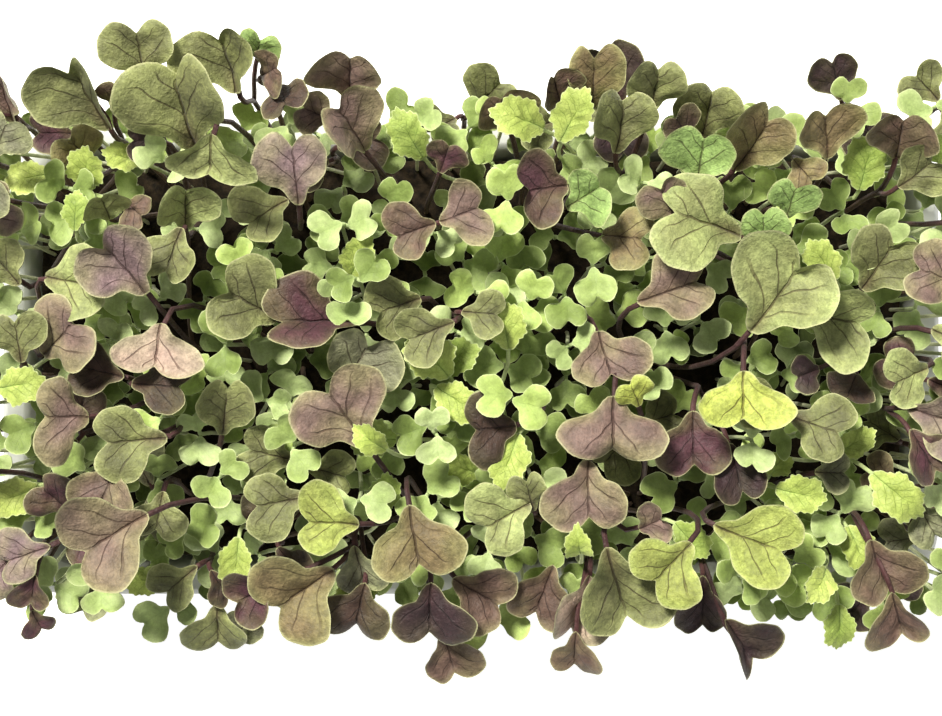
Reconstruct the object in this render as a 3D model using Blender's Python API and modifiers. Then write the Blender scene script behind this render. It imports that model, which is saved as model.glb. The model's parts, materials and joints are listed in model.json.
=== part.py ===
"""Microgreens tray: a shallow white growing tray, filled with dark growing medium and densely sown.

Radish seedlings carry large notched seed leaves above small green brassica seedlings, some of
which have opened a toothed first true leaf. Each clump of seedlings rises from one root crown
that stands in a plain hole in the growing medium.

Metres, +Z up, +X along the tray. The origin is the centre of the tray's underside.
"""

import math
import random
from collections import namedtuple

import bmesh
import bpy
from mathutils import Matrix, Vector
from mathutils.bvhtree import BVHTree
from mathutils.geometry import interpolate_bezier

MM = 0.001
UP = Vector((0, 0, 1))

# The tray
TRAY_LENGTH = 254 * MM
TRAY_WIDTH = 127 * MM
TRAY_WALL = 1.2 * MM
FLOOR_INSET = 14 * MM
FLOOR_CORNER = 14 * MM
CORNER_STEPS = 3
# Each step of the wall: how far it stands out from the floor's edge, and its height.
WALL_STEPS = (
    (2.6 * MM, 1.2 * MM),
    (3.6 * MM, 4.0 * MM),
    (8.6 * MM, 35.0 * MM),
    (9.6 * MM, 36.0 * MM),
    (13.0 * MM, 36.0 * MM),
    (14.0 * MM, 35.0 * MM),
    (14.0 * MM, 31.5 * MM),
)
DRAIN_RADIUS = 1.75 * MM
DRAIN_COLUMNS = 4
DRAIN_SIDES = 8
DRAIN_PITCH_X = 50 * MM
DRAIN_PITCH_Y = 48 * MM

# The growing medium
MEDIUM_GAP = 0.5 * MM
MEDIUM_STEPS = (
    (0.6 * MM, 3.5 * MM),
    (5.0 * MM, 27.5 * MM),
    (4.2 * MM, 29.2 * MM),
    (2.4 * MM, 30.0 * MM),
)
MEDIUM_TOP = 30 * MM

# The root crowns and the holes that they stand in
CROWN_TOP_RADIUS = 4.8 * MM
CROWN_FOOT_RADIUS = 3.2 * MM
CROWN_DEPTH = 10 * MM
CROWN_PROUD = 1.0 * MM
ROOT_RING = 2.6 * MM
ROOTS_ROUND = 6
ROOT_SUNK = 1.2 * MM
ROOT_CHOICES = 7
CROWN_SIDES = 5
HOLE_GAP = 0.35 * MM
RADISH_COLUMNS = 8
RADISH_ROWS = (-40 * MM, 0.0, 40 * MM)
BRASSICA_COLUMNS = 7
BRASSICA_ROWS = (-50 * MM, -20 * MM, 20 * MM, 50 * MM)
CROWN_PITCH = 30 * MM

# Leaves and stems
BLADE_THICKNESS = 0.7 * MM
STALK_STEPS = 2
RADISH_STEM = 0.95 * MM
BRASSICA_STEM = 0.7 * MM
RADISH_DROP = 9 * MM
BRASSICA_DROP = 3 * MM
BASE_APART = 1.6 * MM
BASE_BEHIND = 3 * MM
STALK_BEND = 0.8
FOOT_BEHIND = 6 * MM
CLEARANCE = 0.4 * MM
FLAT_ANGLE = math.radians(0.5)
MOST_TRIES = 90
SEED = 20
MUSTARD_SEED = 1020
BRASSICA_SEED = 2020

# The outline of a seed leaf, in half widths: its least reach, how much further its lobes reach,
# where the lobes stand from the tip and how sharp they are, and the half angle of the tip's notch.
LEAST_REACH = 0.58
LOBE_GAIN = 0.45
LOBE_ANGLE = math.radians(65)
LOBE_SHARPNESS = 0.72
NOTCH_ANGLE = math.radians(18)
# The outline of a true leaf
TRUE_LEAF_LENGTH = 1.35
TOOTH_DEPTH = 0.07

Leaf = namedtuple("Leaf", "segments base_reach notch fold bend long")
RADISH = Leaf(9, 0.85, 0.26, (0.10, 0.45), (-0.22, 0.06), (0.8, 1.05))
BRASSICA = Leaf(7, 0.75, 0.32, (0.10, 0.45), (-0.20, 0.05), (0.75, 1.0))
MUSTARD = Leaf(13, 1.45, 0.0, (0.05, 0.30), (-0.25, -0.02), (0.9, 1.1))
MOST_LEAN = 0.12
MOST_ROLL = 14

# The bows of the stalks, as shares of their height or length, the half side of a square stalk as a
# share of its radius, and the radii of a second leaf's own stalk as shares of the stem's
SINGLE_BOW = 0.35
PAIR_BOW = 0.4
SQUARE_HALF = 0.75
PETIOLE_SHARES = (0.8, 0.8, 0.55)

# Radish seedlings, from the back left. Each row is the height of the leaves above the growing
# medium, then one or two leaves: the middle of the leaf along and across the tray, its width,
# the way it points (0 is +X, 90 is +Y) and how far its tip is raised. Millimetres and degrees.
# Where three more numbers follow, they are the leaf's length as a share of the usual, how steeply
# its halves are folded up, and its roll.
RADISH_SEEDLINGS = (
    (66, (-112, 64, 17, 100, 40, 0.95, 0.7, -30), (-119, 58, 13, 190, 20)),
    (70, (-92, 64, 21, 115, 30, 1.1, 0.8, -32), (-84, 62, 9, 60, 50)),
    (74, (-78, 73, 18, 95, 25, 0.9, 0.3, 5)),
    (68, (-70, 62, 28, 98, 25, 0.95, 0.75, -16)),
    (74, (-59, 71, 21, 105, 30, 0.85, 0.8, -20), (-51, 73, 11, 60, 65)),
    (64, (-49, 67, 12, 20, 45), (-46, 60, 13, 300, 35)),
    (66, (-29, 69, 18, 85, 45, 0.85, 0.6, 0), (-38, 59, 11, 160, 30)),
    (64, (-30, 57, 19, 130, 35, 1.0, 0.8, 25)),
    (70, (-42, 46, 18, 95, 18, 1.05, 0.2, 0)),
    (58, (-103, 55, 12, 185, 30), (-96, 51, 14, 120, 35)),
    (60, (-80, 53, 10, 180, 10)),
    (70, (-61, 47, 22, 265, -25, 0.55, 0.2, 0)),
    (62, (-69, 38, 16, 80, 45, 1.0, 0.8, 25)),
    (54, (-52, 35, 16, 215, 10)),
    (58, (-70, 26, 16, 250, 5)),
    (62, (-114, 36, 15, 30, 20)),
    (66, (-88, 37, 12, 100, 55), (-80, 35, 10, 320, 30)),
    (70, (-84, 23, 20, 130, 20, 1.0, 0.6, -10)),
    (62, (-55, 14, 22, 150, 15, 0.85, 0.35, 0)),
    (54, (-40, 8, 20, 190, 15, 1.2, 0.8, 25)),
    (60, (-28, 1, 19, 55, 15, 1.05, 0.4, 10)),
    (70, (-31, -12, 25, 125, 12, 0.85, 0.15, 0)),
    (64, (-19, 12, 16, 200, 20)),
    (68, (-97, 6, 21, 40, 25), (-94, 18, 19, 350, 20)),
    (70, (-75, 1, 22, 262, 5, 0.62, 0.1, 0)),
    (70, (-98, -14, 22, 178, 20, 0.6, 0.25, 0)),
    (66, (-83, -20, 19, 185, 10, 0.95, 0.3, 0), (-88, -33, 18, 250, 0)),
    (64, (-59, -11, 14, 80, 30, 1.35, 0.6, 10)),
    (60, (-106, 7, 14, 90, 15)),
    (60, (-114, 23, 15, 130, 15)),
    (70, (-87, -43, 24, 215, 5, 0.9, 0.35, 0)),
    (60, (-76, -39, 14, 260, 0)),
    (64, (-109, -48, 14, 200, -10)),
    (62, (-106, -57, 10, 260, -20)),
    (56, (-117, -54, 13, 230, -20)),
    (56, (-106, -65, 9, 290, -30)),
    (54, (-73, -56, 13, 220, -15), (-61, -57, 10, 300, -20)),
    (50, (-63, -68, 17, 268, -25, 0.8, 0.35, 0)),
    (64, (-48, -35, 17, 190, 5)),
    (70, (-35, -39, 18, 178, 5)),
    (66, (-53, -57, 15, 205, -10), (-42, -57, 25, 215, 0, 0.8, 0.5, -8)),
    (70, (-13, -45, 23, 280, 0, 0.8, 0.25, 0)),
    (58, (-27, -53, 13, 285, -20), (-28, -63, 19, 255, -15, 0.75, 0.2, 0)),
    (62, (-10, -63, 21, 268, -10, 0.75, 0.3, 0)),
    (54, (-5, -74, 15, 285, -20, 0.95, 0.25, 0)),
    (60, (3, -58, 18, 330, -10, 0.9, 0.4, 0)),
    (58, (17, -59, 17, 250, -10, 0.95, 0.3, 0)),
    (62, (26, -62, 17, 250, 0, 1.0, 0.7, -25), (25, -72, 13, 270, -30)),
    (64, (36, -57, 24, 290, -10, 0.95, 0.2, 0)),
    (72, (46, -50, 20, 225, 5, 0.8, 0.3, 0)),
    (68, (28, -34, 21, 270, 5, 0.85, 0.25, 0), (44, -39, 11, 30, 30)),
    (70, (7, -39, 19, 205, 10, 0.8, 0.35, 0), (14, -32, 10, 100, 20)),
    (68, (34, -18, 27, 268, 8, 0.6, 0.1, 0)),
    (66, (39, -9, 10, 120, 30)),
    (74, (64, -11, 23, 268, 5, 0.64, 0.08, 0)),
    (60, (54, -22, 19, 270, 5, 0.9, 0.2, 0), (65, -29, 13, 285, 5, 1.2, 0.4, 0)),
    (66, (4, -17, 20, 185, 10, 0.65, 0.25, 0)),
    (62, (33, -1, 20, 285, 15, 0.75, 0.3, 0)),
    (66, (50, 17, 19, 20, 10, 1.0, 0.5, -10)),
    (64, (38, 29, 17, 350, 30)),
    (70, (16, 40, 19, 190, 20, 0.75, 0.35, 0), (28, 39, 15, 30, 35, 0.85, 0.5, 0)),
    (66, (-1, 35, 17, 20, 5, 0.75, 0.15, 0), (-15, 30, 15, 200, 5, 0.85, 0.2, 0)),
    (64, (-6, 49, 11, 70, 35)),
    (70, (53, 33, 24, 165, 15, 1.0, 0.3, 8), (46, 38, 13, 120, 25)),
    (72, (69, 31, 12, 95, 25), (76, 38, 13, 80, 40)),
    (68, (55, 49, 18, 85, 30, 0.9, 0.4, -10)),
    (66, (69, 53, 17, 60, 30, 1.2, 0.6, 15), (50, 56, 11, 130, 30)),
    (70, (60, 60, 18, 90, 35, 0.9, 0.7, 0)),
    (66, (85, 55, 18, 100, 25, 0.8, 0.3, 15)),
    (66, (103, 54, 17, 90, 40, 0.9, 0.7, -15), (108, 45, 15, 40, 20)),
    (58, (82, 45, 11, 310, 20)),
    (72, (29, 67, 14, 92, 35, 1.3, 0.3, 0), (20, 64, 12, 110, 45, 1.1, 0.7, 20)),
    (64, (8, 60, 16, 110, 40, 0.85, 0.5, 0)),
    (70, (44, 65, 15, 80, 35, 1.0, 0.5, 15), (36, 57, 17, 85, 25, 1.0, 0.6, 18)),
    (74, (74, 17, 27, 55, 15, 0.95, 0.3, 0)),
    (66, (89, 9, 20, 350, 5, 0.9, 0.6, 15)),
    (66, (99, 24, 20, 60, 20, 0.9, 0.35, 0)),
    (70, (117, 4, 17, 340, 10)),
    (68, (114, -15, 18, 345, 10, 1.0, 0.7, 20), (109, -24, 15, 300, 0)),
    (64, (104, -5, 15, 200, 15)),
    (60, (92, -8, 13, 240, 35), (81, -4, 10, 200, 20)),
    (70, (69, -44, 20, 340, 5, 1.1, 0.2, 0)),
    (58, (89, -28, 11, 0, 20)),
    (64, (99, -52, 19, 290, -5, 0.85, 0.35, 0), (103, -63, 15, 290, -20, 0.9, 0.8, 20)),
    (54, (67, -71, 16, 300, -20, 0.95, 0.8, -28), (57, -62, 13, 270, -20, 1.2, 0.3, 0)),
    (58, (112, -41, 12, 300, 0)),
    (62, (-124, 42, 15, 160, 10)),
    (60, (-126, 4, 16, 185, 5)),
    (62, (-124, -30, 15, 200, 0)),
    (62, (125, 36, 15, 20, 10)),
    (60, (126, -36, 15, 330, 0)),
)

# Toothed first true leaves: height, then the leaf as above.
MUSTARD_SEEDLINGS = (
    (62, (-110, -4, 8, 10, 15)),
    (58, (-112, -34, 8, 200, 20)),
    (62, (-93, 46, 8, 80, 35)),
    (58, (-108, 44, 8, 200, 30)),
    (60, (-57, -50, 7, 265, 0)),
    (62, (-24, -20, 8, 180, 10)),
    (66, (-10, 1, 10, 130, 10)),
    (68, (8, 8, 8, 100, 10)),
    (64, (-3, -10, 8, 330, 15)),
    (62, (-5, -1, 8, 20, 20)),
    (66, (9, -25, 8, 250, 15)),
    (60, (-20, -34, 7, 90, 25)),
    (66, (12, 57, 9, 160, 25)),
    (68, (24, 57, 8, 60, 35)),
    (62, (-15, 54, 8, 120, 20)),
    (62, (-27, 24, 7, 60, 25)),
    (60, (55, -44, 7, 320, 10)),
    (62, (80, -33, 8, 350, 10)),
    (60, (95, -46, 8, 285, 10)),
    (64, (103, -33, 9, 320, 10)),
    (58, (90, -66, 7, 270, -10)),
    (62, (98, 49, 9, 80, 30)),
    (62, (113, 22, 9, 60, 20)),
    (60, (-28, -56, 7, 200, 10)),
)
MUSTARD_WIDTH_GAIN = 1.15

# Small green seedlings fill the cells of a grid that the radish leaves leave open.
CELL = 21 * MM
CELL_COLUMNS = 12
CELL_ROWS = 6
CELL_JITTER = 4 * MM
BRASSICA_HEIGHT = (42 * MM, 60 * MM)
BRASSICA_WIDTH = (8.5 * MM, 11.5 * MM)
BRASSICA_PITCH = (5, 35)
BRASSICA_SKEW = 35
COVER_SHARE = 0.41

# How far a seedling may be bent away from its place to stay clear of the others
PLAY_HEIGHT = 16 * MM
PLAY_PLAN = 4 * MM
PLAY_TURN = 18
PLAY_PITCH = 16

Blade = namedtuple("Blade", "leaf centre width heading pitch roll fold bend long lean")
Seedling = namedtuple("Seedling", "root blades stem_radius")
Grown = namedtuple("Grown", "seedling crown tree low high")


def clear_scene():
    for old in list(bpy.data.objects):
        bpy.data.objects.remove(old, do_unlink=True)


def new_collection(name):
    made = bpy.data.collections.new(name)
    bpy.context.scene.collection.children.link(made)
    return made


def new_material(name, color, roughness):
    made = bpy.data.materials.new(name)
    made.use_nodes = True
    shader = made.node_tree.nodes["Principled BSDF"]
    shader.inputs["Base Color"].default_value = (*color, 1)
    shader.inputs["Roughness"].default_value = roughness
    shader.inputs["Metallic"].default_value = 0.0
    return made


def object_from(bm, name, collection):
    mesh = bpy.data.meshes.new(name)
    bm.to_mesh(mesh)
    bm.free()
    made = bpy.data.objects.new(name, mesh)
    collection.objects.link(made)
    return made


def solid_from(bm, name, collection):
    bmesh.ops.recalc_face_normals(bm, faces=bm.faces)
    return object_from(bm, name, collection)


def between(rng, limits):
    return rng.uniform(limits[0], limits[1])


# The tray and the growing medium are rounded sheets drawn up step by step from a flat floor.


def rounded_floor(length, width, height):
    bm = bmesh.new()
    corners = bmesh.ops.create_grid(bm, x_segments=1, y_segments=1, size=0.5)["verts"]
    bmesh.ops.scale(bm, vec=(length, width, 1), verts=corners)
    bmesh.ops.translate(bm, vec=(0, 0, height), verts=corners)
    bmesh.ops.bevel(
        bm, geom=bm.verts[:], offset=FLOOR_CORNER, offset_type="OFFSET", segments=CORNER_STEPS,
        profile=0.5, affect="VERTICES", material=-1,
    )
    return bm


def draw_up(bm, length, width, steps):
    edges = [edge for edge in bm.edges if edge.is_boundary]
    out_before, height_before = 0, bm.verts[:][0].co.z
    for out, height in steps:
        raised = bmesh.ops.extrude_edge_only(bm, edges=edges)["geom"]
        verts = [item for item in raised if isinstance(item, bmesh.types.BMVert)]
        edges = [item for item in raised if isinstance(item, bmesh.types.BMEdge)]
        stretch = (
            (length + 2 * out) / (length + 2 * out_before),
            (width + 2 * out) / (width + 2 * out_before),
            1,
        )
        bmesh.ops.scale(bm, vec=stretch, verts=verts)
        bmesh.ops.translate(bm, vec=(0, 0, height - height_before), verts=verts)
        out_before, height_before = out, height
    return edges


def make_tray(collection, cutters):
    length = TRAY_LENGTH - 2 * FLOOR_INSET
    width = TRAY_WIDTH - 2 * FLOOR_INSET
    bm = rounded_floor(length, width, 0)
    draw_up(bm, length, width, WALL_STEPS)
    bmesh.ops.recalc_face_normals(bm, faces=bm.faces)
    underside = max(bm.faces, key=lambda face: face.calc_area())
    if underside.normal.z > 0:
        bmesh.ops.reverse_faces(bm, faces=bm.faces)
    tray = object_from(bm, "tray", collection)
    wall = tray.modifiers.new("Wall", "SOLIDIFY")
    wall.thickness = TRAY_WALL
    wall.offset = -1
    wall.use_even_offset = True
    drain = bmesh.new()
    for column in range(DRAIN_COLUMNS):
        for side in (-0.5, 0.5):
            place = Matrix.Translation(
                ((column - (DRAIN_COLUMNS - 1) / 2) * DRAIN_PITCH_X, side * DRAIN_PITCH_Y, 0)
            )
            bmesh.ops.create_cone(
                drain, cap_ends=True, segments=DRAIN_SIDES, radius1=DRAIN_RADIUS,
                radius2=DRAIN_RADIUS, depth=4 * TRAY_WALL, matrix=place,
            )
    cut_with(tray, solid_from(drain, "drain_cutter", cutters), "Drain holes")
    return tray


def cut_with(target, cutter, name):
    cutter.hide_render = True
    cutter.display_type = "WIRE"
    cut = target.modifiers.new(name, "BOOLEAN")
    cut.operation = "DIFFERENCE"
    cut.solver = "EXACT"
    cut.object = cutter


def make_medium(crowns, collection, cutters):
    length = TRAY_LENGTH - 2 * FLOOR_INSET
    width = TRAY_WIDTH - 2 * FLOOR_INSET
    bm = rounded_floor(length, width, TRAY_WALL + MEDIUM_GAP)
    rim = draw_up(bm, length, width, MEDIUM_STEPS)
    bmesh.ops.contextual_create(bm, geom=rim)
    medium = solid_from(bm, "growing_medium", collection)
    holes = bmesh.new()
    for crown in crowns:
        foot = MEDIUM_TOP - CROWN_DEPTH - HOLE_GAP
        depth = MEDIUM_TOP + CROWN_PROUD + HOLE_GAP - foot
        bmesh.ops.create_cone(
            holes, cap_ends=True, segments=CROWN_SIDES,
            radius1=CROWN_TOP_RADIUS + HOLE_GAP, radius2=CROWN_TOP_RADIUS + HOLE_GAP,
            depth=depth, matrix=Matrix.Translation((crown.x, crown.y, foot + depth / 2)),
        )
    cut_with(medium, solid_from(holes, "hole_cutter", cutters), "Holes")
    return medium


# A leaf's outline, in half widths from its middle. The angle is 0 at the tip and pi at the base,
# where the last two points of the outline stand apart by the width of the stalk.


def seed_leaf_edge(leaf, angle):
    lobe = math.cos(LOBE_SHARPNESS * (abs(angle) - LOBE_ANGLE)) ** 2
    notch = leaf.notch * math.exp(-((angle / NOTCH_ANGLE) ** 2))
    reach = LEAST_REACH + LOBE_GAIN * lobe - notch
    return reach * math.sin(angle), reach * math.cos(angle)


def true_leaf_edge(leaf, angle):
    tooth = 1 + TOOTH_DEPTH * math.cos(leaf.segments / 2 * angle)
    return tooth * math.sin(angle), TRUE_LEAF_LENGTH * tooth * math.cos(angle)


def drawn_out(blade, across, along):
    """A point of the usual outline, moved to this leaf's own length and its larger lobe."""
    lobe = 1 + blade.lean * math.copysign(min(abs(across), 1), across)
    return across * lobe, along * blade.long * lobe


def edge_point(blade, angle, stalk):
    leaf = blade.leaf
    if abs(angle) > math.pi * (1 - 2 / leaf.segments):
        return math.copysign(stalk, angle), -leaf.base_reach * blade.long
    edge = true_leaf_edge if leaf is MUSTARD else seed_leaf_edge
    return drawn_out(blade, *edge(leaf, angle))


def rise(blade, across, along):
    """Height of a leaf's surface over its own flat plane, in half widths."""
    return blade.fold * abs(across) + blade.bend * along * along


def blade_frame(blade):
    return (
        Matrix.Translation(blade.centre)
        @ Matrix.Rotation(math.radians(blade.heading - 90), 4, "Z")
        @ Matrix.Rotation(math.radians(blade.pitch), 4, "X")
        @ Matrix.Rotation(math.radians(blade.roll), 4, "Y")
    )


def blade_base(blade):
    """The point where the stalk meets the leaf, and the way that the leaf grows from it."""
    half = blade.width / 2
    along = -blade.leaf.base_reach * blade.long
    frame = blade_frame(blade)
    point = frame @ Vector((0, along * half, rise(blade, 0, along) * half))
    return point, frame.to_3x3() @ Vector((0, 1, 0))


def leaf_solid(blade, path, radii, margin=0):
    """A leaf, with the stalk that runs from its base through the points of the path."""
    bm = bmesh.new()
    bmesh.ops.create_circle(
        bm, cap_ends=True, cap_tris=True, segments=blade.leaf.segments, radius=1
    )
    half = blade.width / 2
    frame = blade_frame(blade)
    for vert in bm.verts:
        across, along = 0, 0
        if vert.co.length > 0.5:
            angle = math.atan2(vert.co.x, vert.co.y)
            across, along = edge_point(blade, angle, radii[0] / half)
            spread = 1 + margin / (half * math.hypot(across, along))
            across, along = across * spread, along * spread
        vert.co = frame @ Vector((across * half, along * half, rise(blade, across, along) * half))
    bm.normal_update()
    thickness = BLADE_THICKNESS + 2 * margin
    for vert, normal in [(vert, vert.normal.copy()) for vert in bm.verts]:
        vert.co = vert.co + normal * thickness / 2
    bmesh.ops.solidify(bm, geom=bm.faces[:], thickness=thickness)
    bmesh.ops.recalc_face_normals(bm, faces=bm.faces)
    base = blade_base(blade)[0]
    end = min(bm.faces, key=lambda face: (face.calc_center_median() - base).length)
    draw_stalk(bm, end, path, [radius + margin for radius in radii])
    bmesh.ops.triangulate(bm, faces=bm.faces[:])
    return bm


def draw_stalk(bm, end, path, radii):
    """Draws a four-sided face out through the points of the path, as a square stalk."""
    corners = [vert.co.copy() for vert in end.verts]
    side = (corners[1] - corners[0]).normalized()
    up = (corners[2] - corners[1]).normalized()
    way = side.cross(up)
    previous = sum(corners, Vector()) / len(corners)
    for index, point in enumerate(path):
        after = path[min(index + 1, len(path) - 1)]
        new_way = (after - previous).normalized()
        turn = way.rotation_difference(new_way)
        side, up, way = turn @ side, turn @ up, new_way
        end = bmesh.ops.extrude_discrete_faces(bm, faces=[end])["faces"][0]
        half = SQUARE_HALF * radii[min(index + 1, len(radii) - 1)]
        for vert, (across, over) in zip(end.verts, ((-1, -1), (1, -1), (1, 1), (-1, 1))):
            vert.co = point + half * (across * side + over * up)
        previous = point


def seedling_paths(seedling, steps):
    """The stalk under each leaf: the first one runs on to the root, the second joins it."""
    bases = [blade_base(blade) for blade in seedling.blades]
    root = seedling.root
    if len(bases) == 1:
        base, grow = bases[0]
        bow = SINGLE_BOW * (base.z - root.z)
        bend = min(bow, STALK_BEND * seedling.blades[0].width)
        return [interpolate_bezier(base, base - grow * bend, root + UP * bow, root, steps + 2)[1:]]
    (base, grow), (other, other_grow) = bases
    drop, behind = BRASSICA_DROP, 0
    if seedling.blades[0].leaf is RADISH:
        drop = RADISH_DROP + 0.5 * (base - other).length
        behind = 0.5 * BASE_BEHIND + 0.25 * abs((base - other).dot(grow + other_grow))
    joint = (base + other) / 2 - UP * drop - (grow + other_grow) * behind
    bow = PAIR_BOW * (base - joint).length
    first = interpolate_bezier(base, base - grow * bow, joint + UP * bow, joint, steps)[1:]
    bow = PAIR_BOW * (other - joint).length
    second = interpolate_bezier(
        other, other - other_grow * bow, joint.lerp(other, PAIR_BOW), joint, steps
    )[1:]
    bow = PAIR_BOW * (joint.z - root.z)
    stem = interpolate_bezier(joint, joint - UP * bow, root + UP * bow, root, steps + 1)[1:]
    return [first + stem, second]


def seedling_solids(seedling, margin=0):
    paths = seedling_paths(seedling, STALK_STEPS)
    radius = seedling.stem_radius
    radii = [[radius], [radius * share for share in PETIOLE_SHARES]]
    return [
        leaf_solid(blade, path, widths, margin)
        for blade, path, widths in zip(seedling.blades, paths, radii)
    ]


# Each seedling is set in its place, and bent away from the ones already standing where it must be.


def crosses_itself(solid):
    """Whether a stalk runs through its own leaf."""
    tree = BVHTree.FromBMesh(solid)
    solid.faces.ensure_lookup_table()
    return any(
        not set(solid.faces[one].verts) & set(solid.faces[other].verts)
        for one, other in tree.overlap(tree)
    )


def tree_of(solids):
    joined = bmesh.new()
    for solid in solids:
        piece = bpy.data.meshes.new("piece")
        solid.to_mesh(piece)
        solid.free()
        joined.from_mesh(piece)
        bpy.data.meshes.remove(piece)
    places = [vert.co.copy() for vert in joined.verts]
    low = [min(place[axis] for place in places) for axis in range(3)]
    high = [max(place[axis] for place in places) for axis in range(3)]
    tree = BVHTree.FromBMesh(joined)
    joined.free()
    return tree, low, high


def is_clear(tree, low, high, grown):
    for other in grown:
        if any(low[axis] > other.high[axis] or other.low[axis] > high[axis] for axis in range(3)):
            continue
        if tree.overlap(other.tree):
            return False
    return True


def nudged(blades, rng, reach):
    shift = Vector((rng.uniform(-1, 1), rng.uniform(-1, 1), 0)) * PLAY_PLAN * reach
    shift.z = rng.uniform(-1, 1) * PLAY_HEIGHT * reach
    turn = rng.uniform(-1, 1) * PLAY_TURN * reach
    tip = rng.uniform(-1, 1) * PLAY_PITCH * reach
    return [
        blade._replace(
            centre=blade.centre + shift, heading=blade.heading + turn, pitch=blade.pitch + tip
        )
        for blade in blades
    ]


def root_places(crown):
    """The places in a crown's top where stems can stand, apart from each other."""
    middle = Vector((crown.x, crown.y, MEDIUM_TOP - ROOT_SUNK))
    ring = [
        middle + Matrix.Rotation(math.tau * index / ROOTS_ROUND, 3, "Z") @ Vector((ROOT_RING, 0, 0))
        for index in range(ROOTS_ROUND)
    ]
    return [middle] + ring


def free_roots(foot, crowns, grown):
    """The free places nearest to a seedling's foot, each with its crown."""
    taken = [plant.seedling.root for plant in grown]
    free = [
        (crown, place)
        for crown in crowns
        for place in root_places(crown)
        if place not in taken
    ]
    return sorted(free, key=lambda pair: (pair[1].xy - foot.xy).length)[:ROOT_CHOICES]


def set_seedling(blades, crowns, stem_radius, rng, grown):
    feet = [base - grow * FOOT_BEHIND for base, grow in map(blade_base, blades)]
    roots = free_roots(sum(feet, Vector()) / len(feet), crowns, grown)
    for attempt in range(MOST_TRIES):
        crown, root = roots[attempt % len(roots)]
        trial = nudged(blades, rng, attempt / MOST_TRIES)
        seedling = Seedling(root, trial, stem_radius)
        solids = seedling_solids(seedling, CLEARANCE)
        if any(crosses_itself(solid) for solid in solids):
            continue
        shape = tree_of(seedling_solids(seedling))
        if is_clear(*tree_of(solids), grown) and is_clear(*shape, grown):
            grown.append(Grown(seedling, crown, *shape))
            return True
    return False


def blades_of(row, leaf, rng):
    height = row[0] * MM
    blades = []
    for x, y, width, heading, pitch, *form in row[1:]:
        usual = (between(rng, leaf.long), between(rng, leaf.fold), rng.uniform(-1, 1) * MOST_ROLL)
        long, fold, roll = form or usual
        blades.append(
            Blade(
                leaf, Vector((x * MM, y * MM, MEDIUM_TOP + height)), width * MM, heading, pitch,
                roll, fold, between(rng, leaf.bend), long, rng.uniform(-1, 1) * MOST_LEAN,
            )
        )
    return blades


def brassica_blades(place, rng):
    """Two seed leaves that face each other across the top of the stem."""
    heading = rng.uniform(0, 360)
    joint = Vector((place.x, place.y, MEDIUM_TOP + between(rng, BRASSICA_HEIGHT)))
    blades = []
    for turn in (0, 180 + rng.uniform(-1, 1) * BRASSICA_SKEW):
        blade = Blade(
            BRASSICA, Vector(), between(rng, BRASSICA_WIDTH), heading + turn,
            between(rng, BRASSICA_PITCH), rng.uniform(-1, 1) * MOST_ROLL,
            between(rng, BRASSICA.fold), between(rng, BRASSICA.bend),
            between(rng, BRASSICA.long), rng.uniform(-1, 1) * MOST_LEAN,
        )
        base = blade_base(blade)[0]
        apart = Matrix.Rotation(math.radians(blade.heading), 3, "Z") @ Vector((BASE_APART, 0, 0))
        blades.append(blade._replace(centre=joint + apart - base))
    return blades


def covered(place, grown):
    return any(
        (blade.centre.xy - place.xy).length < COVER_SHARE * blade.width
        for plant in grown
        for blade in plant.seedling.blades
    )


def crown_lattice(columns, rows):
    return [
        Vector(((column - (columns - 1) / 2) * CROWN_PITCH, row, MEDIUM_TOP))
        for row in rows
        for column in range(columns)
    ]


def grow_all(radish_crowns, brassica_crowns):
    """Sets every seedling, tallest kinds first, and returns them with their crowns."""
    grown = []
    dropped = 0
    for index, row in enumerate(RADISH_SEEDLINGS):
        rng = random.Random(SEED + index)
        dropped += not set_seedling(
            blades_of(row, RADISH, rng), radish_crowns, RADISH_STEM, rng, grown
        )
    for index, row in enumerate(MUSTARD_SEEDLINGS):
        rng = random.Random(MUSTARD_SEED + index)
        blades = [
            blade._replace(width=blade.width * MUSTARD_WIDTH_GAIN)
            for blade in blades_of(row, MUSTARD, rng)
        ]
        dropped += not set_seedling(blades, brassica_crowns, BRASSICA_STEM, rng, grown)
    for index in range(CELL_COLUMNS * CELL_ROWS):
        rng = random.Random(BRASSICA_SEED + index)
        column, row = index % CELL_COLUMNS, index // CELL_COLUMNS
        place = Vector(
            (
                (column - (CELL_COLUMNS - 1) / 2) * CELL + rng.uniform(-1, 1) * CELL_JITTER,
                (row - (CELL_ROWS - 1) / 2) * CELL + rng.uniform(-1, 1) * CELL_JITTER,
                0,
            )
        )
        if not covered(place, grown):
            dropped += not set_seedling(
                brassica_blades(place, rng), brassica_crowns, BRASSICA_STEM, rng, grown
            )
    return grown, dropped


def crown_solid(place):
    bm = bmesh.new()
    depth = CROWN_DEPTH + CROWN_PROUD
    middle = MEDIUM_TOP + CROWN_PROUD - depth / 2
    bmesh.ops.create_cone(
        bm, cap_ends=True, segments=CROWN_SIDES, radius1=CROWN_FOOT_RADIUS,
        radius2=CROWN_TOP_RADIUS, depth=depth,
        matrix=Matrix.Translation((place.x, place.y, middle)),
    )
    return bm


def islands_of(bm):
    """The separate shells of a mesh, as sets of vertices, the largest first."""
    left = set(bm.verts)
    islands = []
    while left:
        island = set()
        front = [left.pop()]
        while front:
            vert = front.pop()
            island.add(vert)
            near = {edge.other_vert(vert) for edge in vert.link_edges} & left
            left -= near
            front.extend(near)
        islands.append(island)
    return sorted(islands, key=len, reverse=True)


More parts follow.
